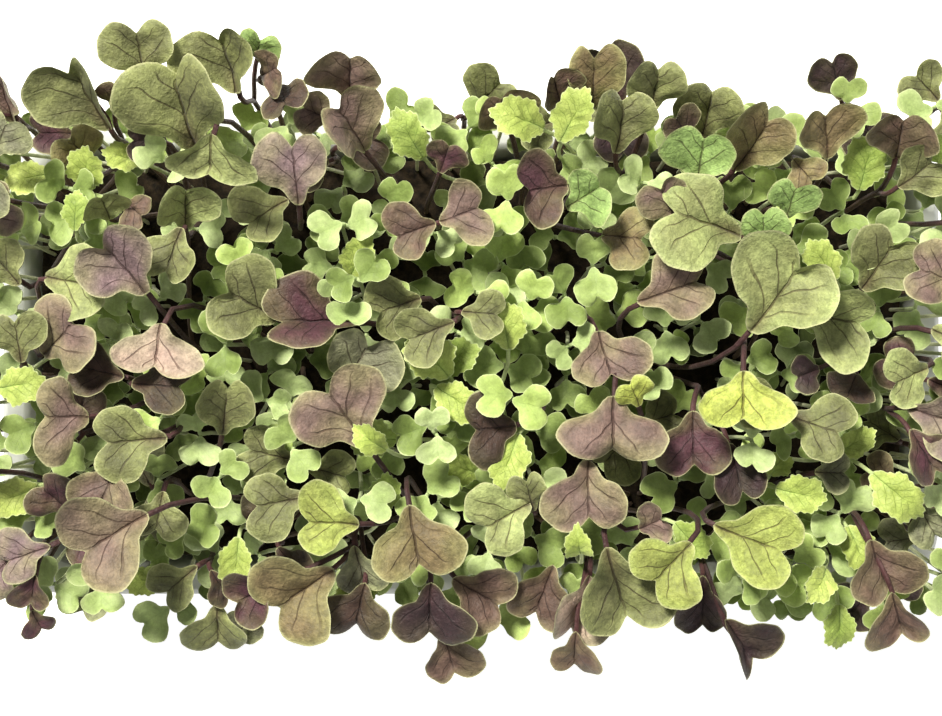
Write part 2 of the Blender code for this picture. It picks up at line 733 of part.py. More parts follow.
def tidy_joined(mesh):
    """Fills sealed hollows, drops loose scraps and clears edges that lie in a flat face."""
    bm = bmesh.new()
    bm.from_mesh(mesh)
    for island in islands_of(bm)[1:]:
        bmesh.ops.delete(bm, geom=list(island), context="VERTS")
    bmesh.ops.dissolve_limit(bm, angle_limit=FLAT_ANGLE, verts=bm.verts[:], edges=bm.edges[:])
    bm.to_mesh(mesh)
    bm.free()


def make_clump(name, crown, grown, material, collection):
    """One root crown with every seedling that rises from it, fused into one body."""
    seedlings = [plant.seedling for plant in grown if plant.crown is crown]
    clump = solid_from(crown_solid(crown), name, collection)
    pieces = new_collection(name + "_pieces")
    for seedling in seedlings:
        for solid in seedling_solids(seedling):
            solid_from(solid, "piece", pieces)
    join = clump.modifiers.new("Join", "BOOLEAN")
    join.operation = "UNION"
    join.solver = "EXACT"
    join.operand_type = "COLLECTION"
    join.collection = pieces
    graph = bpy.context.evaluated_depsgraph_get()
    joined = bpy.data.meshes.new_from_object(clump.evaluated_get(graph))
    clump.modifiers.clear()
    clump.data = joined
    tidy_joined(joined)
    clump.data.materials.clear()
    clump.data.materials.append(material)
    for piece in list(pieces.objects):
        bpy.data.objects.remove(piece, do_unlink=True)
    bpy.data.collections.remove(pieces)


def main():
    clear_scene()
    parts = new_collection("microgreens_tray")
    cutters = new_collection("cutters")
    white = new_material("tray_white", (0.86, 0.87, 0.86), 0.42)
    soil = new_material("growing_medium", (0.035, 0.024, 0.017), 0.95)
    purple = new_material("radish_leaf", (0.27, 0.21, 0.15), 0.6)
    green = new_material("brassica_leaf", (0.22, 0.42, 0.10), 0.55)

    radish_crowns = crown_lattice(RADISH_COLUMNS, RADISH_ROWS)
    brassica_crowns = crown_lattice(BRASSICA_COLUMNS, BRASSICA_ROWS)
    grown, dropped = grow_all(radish_crowns, brassica_crowns)

    make_tray(parts, cutters).data.materials.append(white)
    used = [plant.crown for plant in grown]
    planted_crowns = [crown for crown in radish_crowns + brassica_crowns if crown in used]
    make_medium(planted_crowns, parts, cutters).data.materials.append(soil)
    for kind, crowns, material in (
        ("radish", radish_crowns, purple),
        ("brassica", brassica_crowns, green),
    ):
        planted = [crown for crown in crowns if crown in used]
        for number, crown in enumerate(planted, start=1):
            make_clump(f"{kind}_clump_{number:02d}", crown, grown, material, parts)
    print("seedlings", len(grown), "left out", dropped)


main()
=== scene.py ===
"""The microgreens tray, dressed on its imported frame.

Every clump of the frame gets fine leaves and stems of the same form and place. More small seedlings
stand between them, and the growing medium and the tray get their own surfaces.
"""

import json
import math
import random
from collections import namedtuple

import bmesh
import bpy
from mathutils import Matrix, Vector, noise
from mathutils.bvhtree import BVHTree
from mathutils.geometry import interpolate_bezier

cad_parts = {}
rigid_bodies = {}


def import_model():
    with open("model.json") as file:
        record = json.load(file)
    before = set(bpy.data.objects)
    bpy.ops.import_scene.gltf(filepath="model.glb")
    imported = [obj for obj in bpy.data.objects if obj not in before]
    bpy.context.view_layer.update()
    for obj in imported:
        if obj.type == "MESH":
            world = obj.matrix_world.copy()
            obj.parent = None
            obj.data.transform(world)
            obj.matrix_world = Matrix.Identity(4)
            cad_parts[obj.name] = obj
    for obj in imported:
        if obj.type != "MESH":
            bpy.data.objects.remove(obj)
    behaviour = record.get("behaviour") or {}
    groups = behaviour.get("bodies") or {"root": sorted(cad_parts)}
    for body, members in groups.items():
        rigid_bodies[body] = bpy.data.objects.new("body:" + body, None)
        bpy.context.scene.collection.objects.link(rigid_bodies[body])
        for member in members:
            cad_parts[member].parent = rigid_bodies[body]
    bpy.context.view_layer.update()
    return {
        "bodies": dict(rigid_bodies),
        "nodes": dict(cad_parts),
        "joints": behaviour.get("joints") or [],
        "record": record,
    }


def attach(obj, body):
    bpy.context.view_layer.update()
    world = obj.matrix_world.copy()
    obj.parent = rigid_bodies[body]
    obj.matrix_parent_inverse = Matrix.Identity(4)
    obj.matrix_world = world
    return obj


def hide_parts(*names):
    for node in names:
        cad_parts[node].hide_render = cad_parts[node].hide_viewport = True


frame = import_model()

MM = 0.001
UP = Vector((0, 0, 1))

# These values and the rules for growing are those of the frame's own source, so that every fine
# leaf lands on its plain one.

TRAY_LENGTH = 254 * MM
TRAY_WIDTH = 127 * MM
TRAY_WALL = 1.2 * MM
FLOOR_INSET = 14 * MM
FLOOR_CORNER = 14 * MM
CORNER_STEPS = 12
# Each step of the wall: how far it stands out from the floor's edge, and its height.
WALL_STEPS = (
    (2.6 * MM, 1.2 * MM),
    (3.6 * MM, 4.0 * MM),
    (8.6 * MM, 35.0 * MM),
    (9.6 * MM, 36.0 * MM),
    (13.0 * MM, 36.0 * MM),
    (14.0 * MM, 35.0 * MM),
    (14.0 * MM, 31.5 * MM),
)
DRAIN_RADIUS = 1.75 * MM
DRAIN_COLUMNS = 4
DRAIN_SIDES = 24
DRAIN_PITCH_X = 50 * MM
DRAIN_PITCH_Y = 48 * MM

# The growing medium
MEDIUM_TOP = 30 * MM

# The root crowns that the stems stand in
ROOT_RING = 2.6 * MM
ROOTS_ROUND = 6
ROOT_SUNK = 1.2 * MM
ROOT_CHOICES = 7
RADISH_COLUMNS = 8
RADISH_ROWS = (-40 * MM, 0.0, 40 * MM)
BRASSICA_COLUMNS = 7
BRASSICA_ROWS = (-50 * MM, -20 * MM, 20 * MM, 50 * MM)
CROWN_PITCH = 30 * MM

# Leaves and stems
BLADE_THICKNESS = 0.7 * MM
STALK_STEPS = 2
RADISH_STEM = 0.95 * MM
BRASSICA_STEM = 0.7 * MM
RADISH_DROP = 9 * MM
BRASSICA_DROP = 3 * MM
BASE_APART = 1.6 * MM
BASE_BEHIND = 3 * MM
STALK_BEND = 0.8
FOOT_BEHIND = 6 * MM
CLEARANCE = 0.4 * MM
MOST_TRIES = 90
SEED = 20
MUSTARD_SEED = 1020
BRASSICA_SEED = 2020

# The outline of a seed leaf, in half widths: its least reach, how much further its lobes reach,
# where the lobes stand from the tip and how sharp they are, and the half angle of the tip's notch.
LEAST_REACH = 0.58
LOBE_GAIN = 0.45
LOBE_ANGLE = math.radians(65)
LOBE_SHARPNESS = 0.72
NOTCH_ANGLE = math.radians(18)
# The outline of a true leaf
TRUE_LEAF_LENGTH = 1.35
TOOTH_DEPTH = 0.07

Leaf = namedtuple("Leaf", "segments base_reach notch fold bend long")
RADISH = Leaf(9, 0.85, 0.26, (0.10, 0.45), (-0.22, 0.06), (0.8, 1.05))
BRASSICA = Leaf(7, 0.75, 0.32, (0.10, 0.45), (-0.20, 0.05), (0.75, 1.0))
MUSTARD = Leaf(13, 1.45, 0.0, (0.05, 0.30), (-0.25, -0.02), (0.9, 1.1))
MOST_LEAN = 0.12
MOST_ROLL = 14

# The bows of the stalks, as shares of their height or length, the half side of a square stalk as a
# share of its radius, and the radii of a second leaf's own stalk as shares of the stem's
SINGLE_BOW = 0.35
PAIR_BOW = 0.4
SQUARE_HALF = 0.75
PETIOLE_SHARES = (0.8, 0.8, 0.55)

# Radish seedlings, from the back left. Each row is the height of the leaves above the growing
# medium, then one or two leaves: the middle of the leaf along and across the tray, its width,
# the way it points (0 is +X, 90 is +Y) and how far its tip is raised. Millimetres and degrees.
# Where three more numbers follow, they are the leaf's length as a share of the usual, how steeply
# its halves are folded up, and its roll.
RADISH_SEEDLINGS = (
    (66, (-112, 64, 17, 100, 40, 0.95, 0.7, -30), (-119, 58, 13, 190, 20)),
    (70, (-92, 64, 21, 115, 30, 1.1, 0.8, -32), (-84, 62, 9, 60, 50)),
    (74, (-78, 73, 18, 95, 25, 0.9, 0.3, 5)),
    (68, (-70, 62, 28, 98, 25, 0.95, 0.75, -16)),
    (74, (-59, 71, 21, 105, 30, 0.85, 0.8, -20), (-51, 73, 11, 60, 65)),
    (64, (-49, 67, 12, 20, 45), (-46, 60, 13, 300, 35)),
    (66, (-29, 69, 18, 85, 45, 0.85, 0.6, 0), (-38, 59, 11, 160, 30)),
    (64, (-30, 57, 19, 130, 35, 1.0, 0.8, 25)),
    (70, (-42, 46, 18, 95, 18, 1.05, 0.2, 0)),
    (58, (-103, 55, 12, 185, 30), (-96, 51, 14, 120, 35)),
    (60, (-80, 53, 10, 180, 10)),
    (70, (-61, 47, 22, 265, -25, 0.55, 0.2, 0)),
    (62, (-69, 38, 16, 80, 45, 1.0, 0.8, 25)),
    (54, (-52, 35, 16, 215, 10)),
    (58, (-70, 26, 16, 250, 5)),
    (62, (-114, 36, 15, 30, 20)),
    (66, (-88, 37, 12, 100, 55), (-80, 35, 10, 320, 30)),
    (70, (-84, 23, 20, 130, 20, 1.0, 0.6, -10)),
    (62, (-55, 14, 22, 150, 15, 0.85, 0.35, 0)),
    (54, (-40, 8, 20, 190, 15, 1.2, 0.8, 25)),
    (60, (-28, 1, 19, 55, 15, 1.05, 0.4, 10)),
    (70, (-31, -12, 25, 125, 12, 0.85, 0.15, 0)),
    (64, (-19, 12, 16, 200, 20)),
    (68, (-97, 6, 21, 40, 25), (-94, 18, 19, 350, 20)),
    (70, (-75, 1, 22, 262, 5, 0.62, 0.1, 0)),
    (70, (-98, -14, 22, 178, 20, 0.6, 0.25, 0)),
    (66, (-83, -20, 19, 185, 10, 0.95, 0.3, 0), (-88, -33, 18, 250, 0)),
    (64, (-59, -11, 14, 80, 30, 1.35, 0.6, 10)),
    (60, (-106, 7, 14, 90, 15)),
    (60, (-114, 23, 15, 130, 15)),
    (70, (-87, -43, 24, 215, 5, 0.9, 0.35, 0)),
    (60, (-76, -39, 14, 260, 0)),
    (64, (-109, -48, 14, 200, -10)),
    (62, (-106, -57, 10, 260, -20)),
    (56, (-117, -54, 13, 230, -20)),
    (56, (-106, -65, 9, 290, -30)),
    (54, (-73, -56, 13, 220, -15), (-61, -57, 10, 300, -20)),
    (50, (-63, -68, 17, 268, -25, 0.8, 0.35, 0)),
    (64, (-48, -35, 17, 190, 5)),
    (70, (-35, -39, 18, 178, 5)),
    (66, (-53, -57, 15, 205, -10), (-42, -57, 25, 215, 0, 0.8, 0.5, -8)),
    (70, (-13, -45, 23, 280, 0, 0.8, 0.25, 0)),
    (58, (-27, -53, 13, 285, -20), (-28, -63, 19, 255, -15, 0.75, 0.2, 0)),
    (62, (-10, -63, 21, 268, -10, 0.75, 0.3, 0)),
    (54, (-5, -74, 15, 285, -20, 0.95, 0.25, 0)),
    (60, (3, -58, 18, 330, -10, 0.9, 0.4, 0)),
    (58, (17, -59, 17, 250, -10, 0.95, 0.3, 0)),
    (62, (26, -62, 17, 250, 0, 1.0, 0.7, -25), (25, -72, 13, 270, -30)),
    (64, (36, -57, 24, 290, -10, 0.95, 0.2, 0)),
    (72, (46, -50, 20, 225, 5, 0.8, 0.3, 0)),
    (68, (28, -34, 21, 270, 5, 0.85, 0.25, 0), (44, -39, 11, 30, 30)),
    (70, (7, -39, 19, 205, 10, 0.8, 0.35, 0), (14, -32, 10, 100, 20)),
    (68, (34, -18, 27, 268, 8, 0.6, 0.1, 0)),
    (66, (39, -9, 10, 120, 30)),
    (74, (64, -11, 23, 268, 5, 0.64, 0.08, 0)),
    (60, (54, -22, 19, 270, 5, 0.9, 0.2, 0), (65, -29, 13, 285, 5, 1.2, 0.4, 0)),
    (66, (4, -17, 20, 185, 10, 0.65, 0.25, 0)),
    (62, (33, -1, 20, 285, 15, 0.75, 0.3, 0)),
    (66, (50, 17, 19, 20, 10, 1.0, 0.5, -10)),
    (64, (38, 29, 17, 350, 30)),
    (70, (16, 40, 19, 190, 20, 0.75, 0.35, 0), (28, 39, 15, 30, 35, 0.85, 0.5, 0)),
    (66, (-1, 35, 17, 20, 5, 0.75, 0.15, 0), (-15, 30, 15, 200, 5, 0.85, 0.2, 0)),
    (64, (-6, 49, 11, 70, 35)),
    (70, (53, 33, 24, 165, 15, 1.0, 0.3, 8), (46, 38, 13, 120, 25)),
    (72, (69, 31, 12, 95, 25), (76, 38, 13, 80, 40)),
    (68, (55, 49, 18, 85, 30, 0.9, 0.4, -10)),
    (66, (69, 53, 17, 60, 30, 1.2, 0.6, 15), (50, 56, 11, 130, 30)),
    (70, (60, 60, 18, 90, 35, 0.9, 0.7, 0)),
    (66, (85, 55, 18, 100, 25, 0.8, 0.3, 15)),
    (66, (103, 54, 17, 90, 40, 0.9, 0.7, -15), (108, 45, 15, 40, 20)),
    (58, (82, 45, 11, 310, 20)),
    (72, (29, 67, 14, 92, 35, 1.3, 0.3, 0), (20, 64, 12, 110, 45, 1.1, 0.7, 20)),
    (64, (8, 60, 16, 110, 40, 0.85, 0.5, 0)),
    (70, (44, 65, 15, 80, 35, 1.0, 0.5, 15), (36, 57, 17, 85, 25, 1.0, 0.6, 18)),
    (74, (74, 17, 27, 55, 15, 0.95, 0.3, 0)),
    (66, (89, 9, 20, 350, 5, 0.9, 0.6, 15)),
    (66, (99, 24, 20, 60, 20, 0.9, 0.35, 0)),
    (70, (117, 4, 17, 340, 10)),
    (68, (114, -15, 18, 345, 10, 1.0, 0.7, 20), (109, -24, 15, 300, 0)),
    (64, (104, -5, 15, 200, 15)),
    (60, (92, -8, 13, 240, 35), (81, -4, 10, 200, 20)),
    (70, (69, -44, 20, 340, 5, 1.1, 0.2, 0)),
    (58, (89, -28, 11, 0, 20)),
    (64, (99, -52, 19, 290, -5, 0.85, 0.35, 0), (103, -63, 15, 290, -20, 0.9, 0.8, 20)),
    (54, (67, -71, 16, 300, -20, 0.95, 0.8, -28), (57, -62, 13, 270, -20, 1.2, 0.3, 0)),
    (58, (112, -41, 12, 300, 0)),
    (62, (-124, 42, 15, 160, 10)),
    (60, (-126, 4, 16, 185, 5)),
    (62, (-124, -30, 15, 200, 0)),
    (62, (125, 36, 15, 20, 10)),
    (60, (126, -36, 15, 330, 0)),
)

# Toothed first true leaves: height, then the leaf as above.
MUSTARD_SEEDLINGS = (
    (62, (-110, -4, 8, 10, 15)),
    (58, (-112, -34, 8, 200, 20)),
    (62, (-93, 46, 8, 80, 35)),
    (58, (-108, 44, 8, 200, 30)),
    (60, (-57, -50, 7, 265, 0)),
    (62, (-24, -20, 8, 180, 10)),
    (66, (-10, 1, 10, 130, 10)),
    (68, (8, 8, 8, 100, 10)),
    (64, (-3, -10, 8, 330, 15)),
    (62, (-5, -1, 8, 20, 20)),
    (66, (9, -25, 8, 250, 15)),
    (60, (-20, -34, 7, 90, 25)),
    (66, (12, 57, 9, 160, 25)),
    (68, (24, 57, 8, 60, 35)),
    (62, (-15, 54, 8, 120, 20)),
    (62, (-27, 24, 7, 60, 25)),
    (60, (55, -44, 7, 320, 10)),
    (62, (80, -33, 8, 350, 10)),
    (60, (95, -46, 8, 285, 10)),
    (64, (103, -33, 9, 320, 10)),
    (58, (90, -66, 7, 270, -10)),
    (62, (98, 49, 9, 80, 30)),
    (62, (113, 22, 9, 60, 20)),
    (60, (-28, -56, 7, 200, 10)),
)
MUSTARD_WIDTH_GAIN = 1.15

# Small green seedlings fill the cells of a grid that the radish leaves leave open.
CELL = 21 * MM
CELL_COLUMNS = 12
CELL_ROWS = 6
CELL_JITTER = 4 * MM
BRASSICA_HEIGHT = (42 * MM, 60 * MM)
BRASSICA_WIDTH = (8.5 * MM, 11.5 * MM)
BRASSICA_PITCH = (5, 35)
BRASSICA_SKEW = 35
COVER_SHARE = 0.41

# How far a seedling may be bent away from its place to stay clear of the others
PLAY_HEIGHT = 16 * MM
PLAY_PLAN = 4 * MM
PLAY_TURN = 18
PLAY_PITCH = 16

Blade = namedtuple("Blade", "leaf centre width heading pitch roll fold bend long lean")
Seedling = namedtuple("Seedling", "root blades stem_radius")
Grown = namedtuple("Grown", "seedling crown tree low high")


def between(rng, limits):
    return rng.uniform(limits[0], limits[1])


# The tray is a rounded sheet drawn up step by step from a flat floor.


def rounded_floor(length, width, height):
    bm = bmesh.new()
    corners = bmesh.ops.create_grid(bm, x_segments=1, y_segments=1, size=0.5)["verts"]
    bmesh.ops.scale(bm, vec=(length, width, 1), verts=corners)
    bmesh.ops.translate(bm, vec=(0, 0, height), verts=corners)
    bmesh.ops.bevel(
        bm, geom=bm.verts[:], offset=FLOOR_CORNER, offset_type="OFFSET", segments=CORNER_STEPS,
        profile=0.5, affect="VERTICES", material=-1,
    )
    return bm


def draw_up(bm, length, width, steps):
    edges = [edge for edge in bm.edges if edge.is_boundary]
    out_before, height_before = 0, bm.verts[:][0].co.z
    for out, height in steps:
        raised = bmesh.ops.extrude_edge_only(bm, edges=edges)["geom"]
        verts = [item for item in raised if isinstance(item, bmesh.types.BMVert)]
        edges = [item for item in raised if isinstance(item, bmesh.types.BMEdge)]
        stretch = (
            (length + 2 * out) / (length + 2 * out_before),
            (width + 2 * out) / (width + 2 * out_before),
            1,
        )
        bmesh.ops.scale(bm, vec=stretch, verts=verts)
        bmesh.ops.translate(bm, vec=(0, 0, height - height_before), verts=verts)
        out_before, height_before = out, height
    return edges


# A leaf's outline, in half widths from its middle. The angle is 0 at the tip and pi at the base,
# where the last two points of the outline stand apart by the width of the stalk.


def seed_leaf_edge(leaf, angle):
    lobe = math.cos(LOBE_SHARPNESS * (abs(angle) - LOBE_ANGLE)) ** 2
    notch = leaf.notch * math.exp(-((angle / NOTCH_ANGLE) ** 2))
    reach = LEAST_REACH + LOBE_GAIN * lobe - notch
    return reach * math.sin(angle), reach * math.cos(angle)


def true_leaf_edge(leaf, angle):
    tooth = 1 + TOOTH_DEPTH * math.cos(leaf.segments / 2 * angle)
    return tooth * math.sin(angle), TRUE_LEAF_LENGTH * tooth * math.cos(angle)


def drawn_out(blade, across, along):
    """A point of the usual outline, moved to this leaf's own length and its larger lobe."""
    lobe = 1 + blade.lean * math.copysign(min(abs(across), 1), across)
    return across * lobe, along * blade.long * lobe


def edge_point(blade, angle, stalk):
    leaf = blade.leaf
    if abs(angle) > math.pi * (1 - 2 / leaf.segments):
        return math.copysign(stalk, angle), -leaf.base_reach * blade.long
    edge = true_leaf_edge if leaf is MUSTARD else seed_leaf_edge
    return drawn_out(blade, *edge(leaf, angle))


def rise(blade, across, along):
    """Height of a leaf's surface over its own flat plane, in half widths."""
    return blade.fold * abs(across) + blade.bend * along * along


def blade_frame(blade):
    return (
        Matrix.Translation(blade.centre)
        @ Matrix.Rotation(math.radians(blade.heading - 90), 4, "Z")
        @ Matrix.Rotation(math.radians(blade.pitch), 4, "X")
        @ Matrix.Rotation(math.radians(blade.roll), 4, "Y")
    )


def blade_base(blade):
    """The point where the stalk meets the leaf, and the way that the leaf grows from it."""
    half = blade.width / 2
    along = -blade.leaf.base_reach * blade.long
    frame = blade_frame(blade)
    point = frame @ Vector((0, along * half, rise(blade, 0, along) * half))
    return point, frame.to_3x3() @ Vector((0, 1, 0))


def leaf_solid(blade, path, radii, margin=0):
    """A leaf, with the stalk that runs from its base through the points of the path."""
    bm = bmesh.new()
    bmesh.ops.create_circle(
        bm, cap_ends=True, cap_tris=True, segments=blade.leaf.segments, radius=1
    )
    half = blade.width / 2
    frame = blade_frame(blade)
    for vert in bm.verts:
        across, along = 0, 0
        if vert.co.length > 0.5:
            angle = math.atan2(vert.co.x, vert.co.y)
            across, along = edge_point(blade, angle, radii[0] / half)
            spread = 1 + margin / (half * math.hypot(across, along))
            across, along = across * spread, along * spread
        vert.co = frame @ Vector((across * half, along * half, rise(blade, across, along) * half))
    bm.normal_update()
    thickness = BLADE_THICKNESS + 2 * margin
    for vert, normal in [(vert, vert.normal.copy()) for vert in bm.verts]:
        vert.co = vert.co + normal * thickness / 2
    bmesh.ops.solidify(bm, geom=bm.faces[:], thickness=thickness)
    bmesh.ops.recalc_face_normals(bm, faces=bm.faces)
    base = blade_base(blade)[0]
    end = min(bm.faces, key=lambda face: (face.calc_center_median() - base).length)
    draw_stalk(bm, end, path, [radius + margin for radius in radii])
    bmesh.ops.triangulate(bm, faces=bm.faces[:])
    return bm


def draw_stalk(bm, end, path, radii):
    """Draws a four-sided face out through the points of the path, as a square stalk."""
    corners = [vert.co.copy() for vert in end.verts]
    side = (corners[1] - corners[0]).normalized()
    up = (corners[2] - corners[1]).normalized()
    way = side.cross(up)
    previous = sum(corners, Vector()) / len(corners)
    for index, point in enumerate(path):
        after = path[min(index + 1, len(path) - 1)]
        new_way = (after - previous).normalized()
        turn = way.rotation_difference(new_way)
        side, up, way = turn @ side, turn @ up, new_way
        end = bmesh.ops.extrude_discrete_faces(bm, faces=[end])["faces"][0]
        half = SQUARE_HALF * radii[min(index + 1, len(radii) - 1)]
        for vert, (across, over) in zip(end.verts, ((-1, -1), (1, -1), (1, 1), (-1, 1))):
            vert.co = point + half * (across * side + over * up)
        previous = point


def seedling_paths(seedling, steps):
    """The stalk under each leaf: the first one runs on to the root, the second joins it."""
    bases = [blade_base(blade) for blade in seedling.blades]
    root = seedling.root
    if len(bases) == 1:
        base, grow = bases[0]
        bow = SINGLE_BOW * (base.z - root.z)
        bend = min(bow, STALK_BEND * seedling.blades[0].width)
        return [interpolate_bezier(base, base - grow * bend, root + UP * bow, root, steps + 2)[1:]]
    (base, grow), (other, other_grow) = bases
    drop, behind = BRASSICA_DROP, 0
    if seedling.blades[0].leaf is RADISH:
        drop = RADISH_DROP + 0.5 * (base - other).length
        behind = 0.5 * BASE_BEHIND + 0.25 * abs((base - other).dot(grow + other_grow))
    joint = (base + other) / 2 - UP * drop - (grow + other_grow) * behind
    bow = PAIR_BOW * (base - joint).length
    first = interpolate_bezier(base, base - grow * bow, joint + UP * bow, joint, steps)[1:]
    bow = PAIR_BOW * (other - joint).length
    second = interpolate_bezier(
        other, other - other_grow * bow, joint.lerp(other, PAIR_BOW), joint, steps
    )[1:]
    bow = PAIR_BOW * (joint.z - root.z)
    stem = interpolate_bezier(joint, joint - UP * bow, root + UP * bow, root, steps + 1)[1:]
    return [first + stem, second]


def seedling_solids(seedling, margin=0):
    paths = seedling_paths(seedling, STALK_STEPS)
    radius = seedling.stem_radius
    radii = [[radius], [radius * share for share in PETIOLE_SHARES]]
    return [
        leaf_solid(blade, path, widths, margin)
        for blade, path, widths in zip(seedling.blades, paths, radii)
    ]


# Each seedling is set in its place, and bent away from the ones already standing where it must be.


def crosses_itself(solid):
    """Whether a stalk runs through its own leaf."""
    tree = BVHTree.FromBMesh(solid)
    solid.faces.ensure_lookup_table()
    return any(
        not set(solid.faces[one].verts) & set(solid.faces[other].verts)
        for one, other in tree.overlap(tree)
    )


def tree_of(solids):
    joined = bmesh.new()
    for solid in solids:
        piece = bpy.data.meshes.new("piece")
        solid.to_mesh(piece)
        solid.free()
        joined.from_mesh(piece)
        bpy.data.meshes.remove(piece)
    places = [vert.co.copy() for vert in joined.verts]
    low = [min(place[axis] for place in places) for axis in range(3)]
    high = [max(place[axis] for place in places) for axis in range(3)]
    tree = BVHTree.FromBMesh(joined)
    joined.free()
    return tree, low, high


def is_clear(tree, low, high, grown):
    for other in grown:
        if any(low[axis] > other.high[axis] or other.low[axis] > high[axis] for axis in range(3)):
            continue
        if tree.overlap(other.tree):
            return False
    return True


def nudged(blades, rng, reach):
    shift = Vector((rng.uniform(-1, 1), rng.uniform(-1, 1), 0)) * PLAY_PLAN * reach
    shift.z = rng.uniform(-1, 1) * PLAY_HEIGHT * reach
    turn = rng.uniform(-1, 1) * PLAY_TURN * reach
    tip = rng.uniform(-1, 1) * PLAY_PITCH * reach
    return [
        blade._replace(
            centre=blade.centre + shift, heading=blade.heading + turn, pitch=blade.pitch + tip
        )
        for blade in blades
    ]


def root_places(crown):
    """The places in a crown's top where stems can stand, apart from each other."""
    middle = Vector((crown.x, crown.y, MEDIUM_TOP - ROOT_SUNK))
    ring = [
        middle + Matrix.Rotation(math.tau * index / ROOTS_ROUND, 3, "Z") @ Vector((ROOT_RING, 0, 0))
        for index in range(ROOTS_ROUND)
    ]
    return [middle] + ring


def free_roots(foot, crowns, grown):
    """The free places nearest to a seedling's foot, each with its crown."""
    taken = [plant.seedling.root for plant in grown]
    free = [
        (crown, place)
        for crown in crowns
        for place in root_places(crown)
        if place not in taken
    ]
    return sorted(free, key=lambda pair: (pair[1].xy - foot.xy).length)[:ROOT_CHOICES]


def set_seedling(blades, crowns, stem_radius, rng, grown):
    feet = [base - grow * FOOT_BEHIND for base, grow in map(blade_base, blades)]
    roots = free_roots(sum(feet, Vector()) / len(feet), crowns, grown)
    for attempt in range(MOST_TRIES):
        crown, root = roots[attempt % len(roots)]
        trial = nudged(blades, rng, attempt / MOST_TRIES)
        seedling = Seedling(root, trial, stem_radius)
        solids = seedling_solids(seedling, CLEARANCE)
        if any(crosses_itself(solid) for solid in solids):
            continue
        shape = tree_of(seedling_solids(seedling))
        if is_clear(*tree_of(solids), grown) and is_clear(*shape, grown):
            grown.append(Grown(seedling, crown, *shape))
            return True
    return False


def blades_of(row, leaf, rng):
    height = row[0] * MM
    blades = []
    for x, y, width, heading, pitch, *form in row[1:]:
        usual = (between(rng, leaf.long), between(rng, leaf.fold), rng.uniform(-1, 1) * MOST_ROLL)
        long, fold, roll = form or usual
        blades.append(
            Blade(
                leaf, Vector((x * MM, y * MM, MEDIUM_TOP + height)), width * MM, heading, pitch,
                roll, fold, between(rng, leaf.bend), long, rng.uniform(-1, 1) * MOST_LEAN,
            )
        )
    return blades


def brassica_blades(place, rng):
    """Two seed leaves that face each other across the top of the stem."""
    heading = rng.uniform(0, 360)
    joint = Vector((place.x, place.y, MEDIUM_TOP + between(rng, BRASSICA_HEIGHT)))
    blades = []
    for turn in (0, 180 + rng.uniform(-1, 1) * BRASSICA_SKEW):
        blade = Blade(
            BRASSICA, Vector(), between(rng, BRASSICA_WIDTH), heading + turn,
            between(rng, BRASSICA_PITCH), rng.uniform(-1, 1) * MOST_ROLL,
            between(rng, BRASSICA.fold), between(rng, BRASSICA.bend),
            between(rng, BRASSICA.long), rng.uniform(-1, 1) * MOST_LEAN,
        )
        base = blade_base(blade)[0]
        apart = Matrix.Rotation(math.radians(blade.heading), 3, "Z") @ Vector((BASE_APART, 0, 0))
        blades.append(blade._replace(centre=joint + apart - base))
    return blades


def covered(place, grown):
    return any(
        (blade.centre.xy - place.xy).length < COVER_SHARE * blade.width
        for plant in grown
        for blade in plant.seedling.blades
    )


def crown_lattice(columns, rows):
    return [
        Vector(((column - (columns - 1) / 2) * CROWN_PITCH, row, MEDIUM_TOP))
        for row in rows
        for column in range(columns)
    ]


def grow_all(radish_crowns, brassica_crowns):
    """Sets every seedling, tallest kinds first, and returns them with their crowns."""
    grown, rows = [], []
    for index, row in enumerate(RADISH_SEEDLINGS):
        rng = random.Random(SEED + index)
        if set_seedling(blades_of(row, RADISH, rng), radish_crowns, RADISH_STEM, rng, grown):
            rows.append(index)
    for index, row in enumerate(MUSTARD_SEEDLINGS):
        rng = random.Random(MUSTARD_SEED + index)
        blades = [
            blade._replace(width=blade.width * MUSTARD_WIDTH_GAIN)
            for blade in blades_of(row, MUSTARD, rng)
        ]
        if set_seedling(blades, brassica_crowns, BRASSICA_STEM, rng, grown):
            rows.append(index)
    for index in range(CELL_COLUMNS * CELL_ROWS):
        rng = random.Random(BRASSICA_SEED + index)
        column, row = index % CELL_COLUMNS, index // CELL_COLUMNS
        place = Vector(
            (
                (column - (CELL_COLUMNS - 1) / 2) * CELL + rng.uniform(-1, 1) * CELL_JITTER,
                (row - (CELL_ROWS - 1) / 2) * CELL + rng.uniform(-1, 1) * CELL_JITTER,
                0,
            )
        )
        if not covered(place, grown):
            blades = brassica_blades(place, rng)
            if set_seedling(blades, brassica_crowns, BRASSICA_STEM, rng, grown):
                rows.append(index)
    return grown, rows
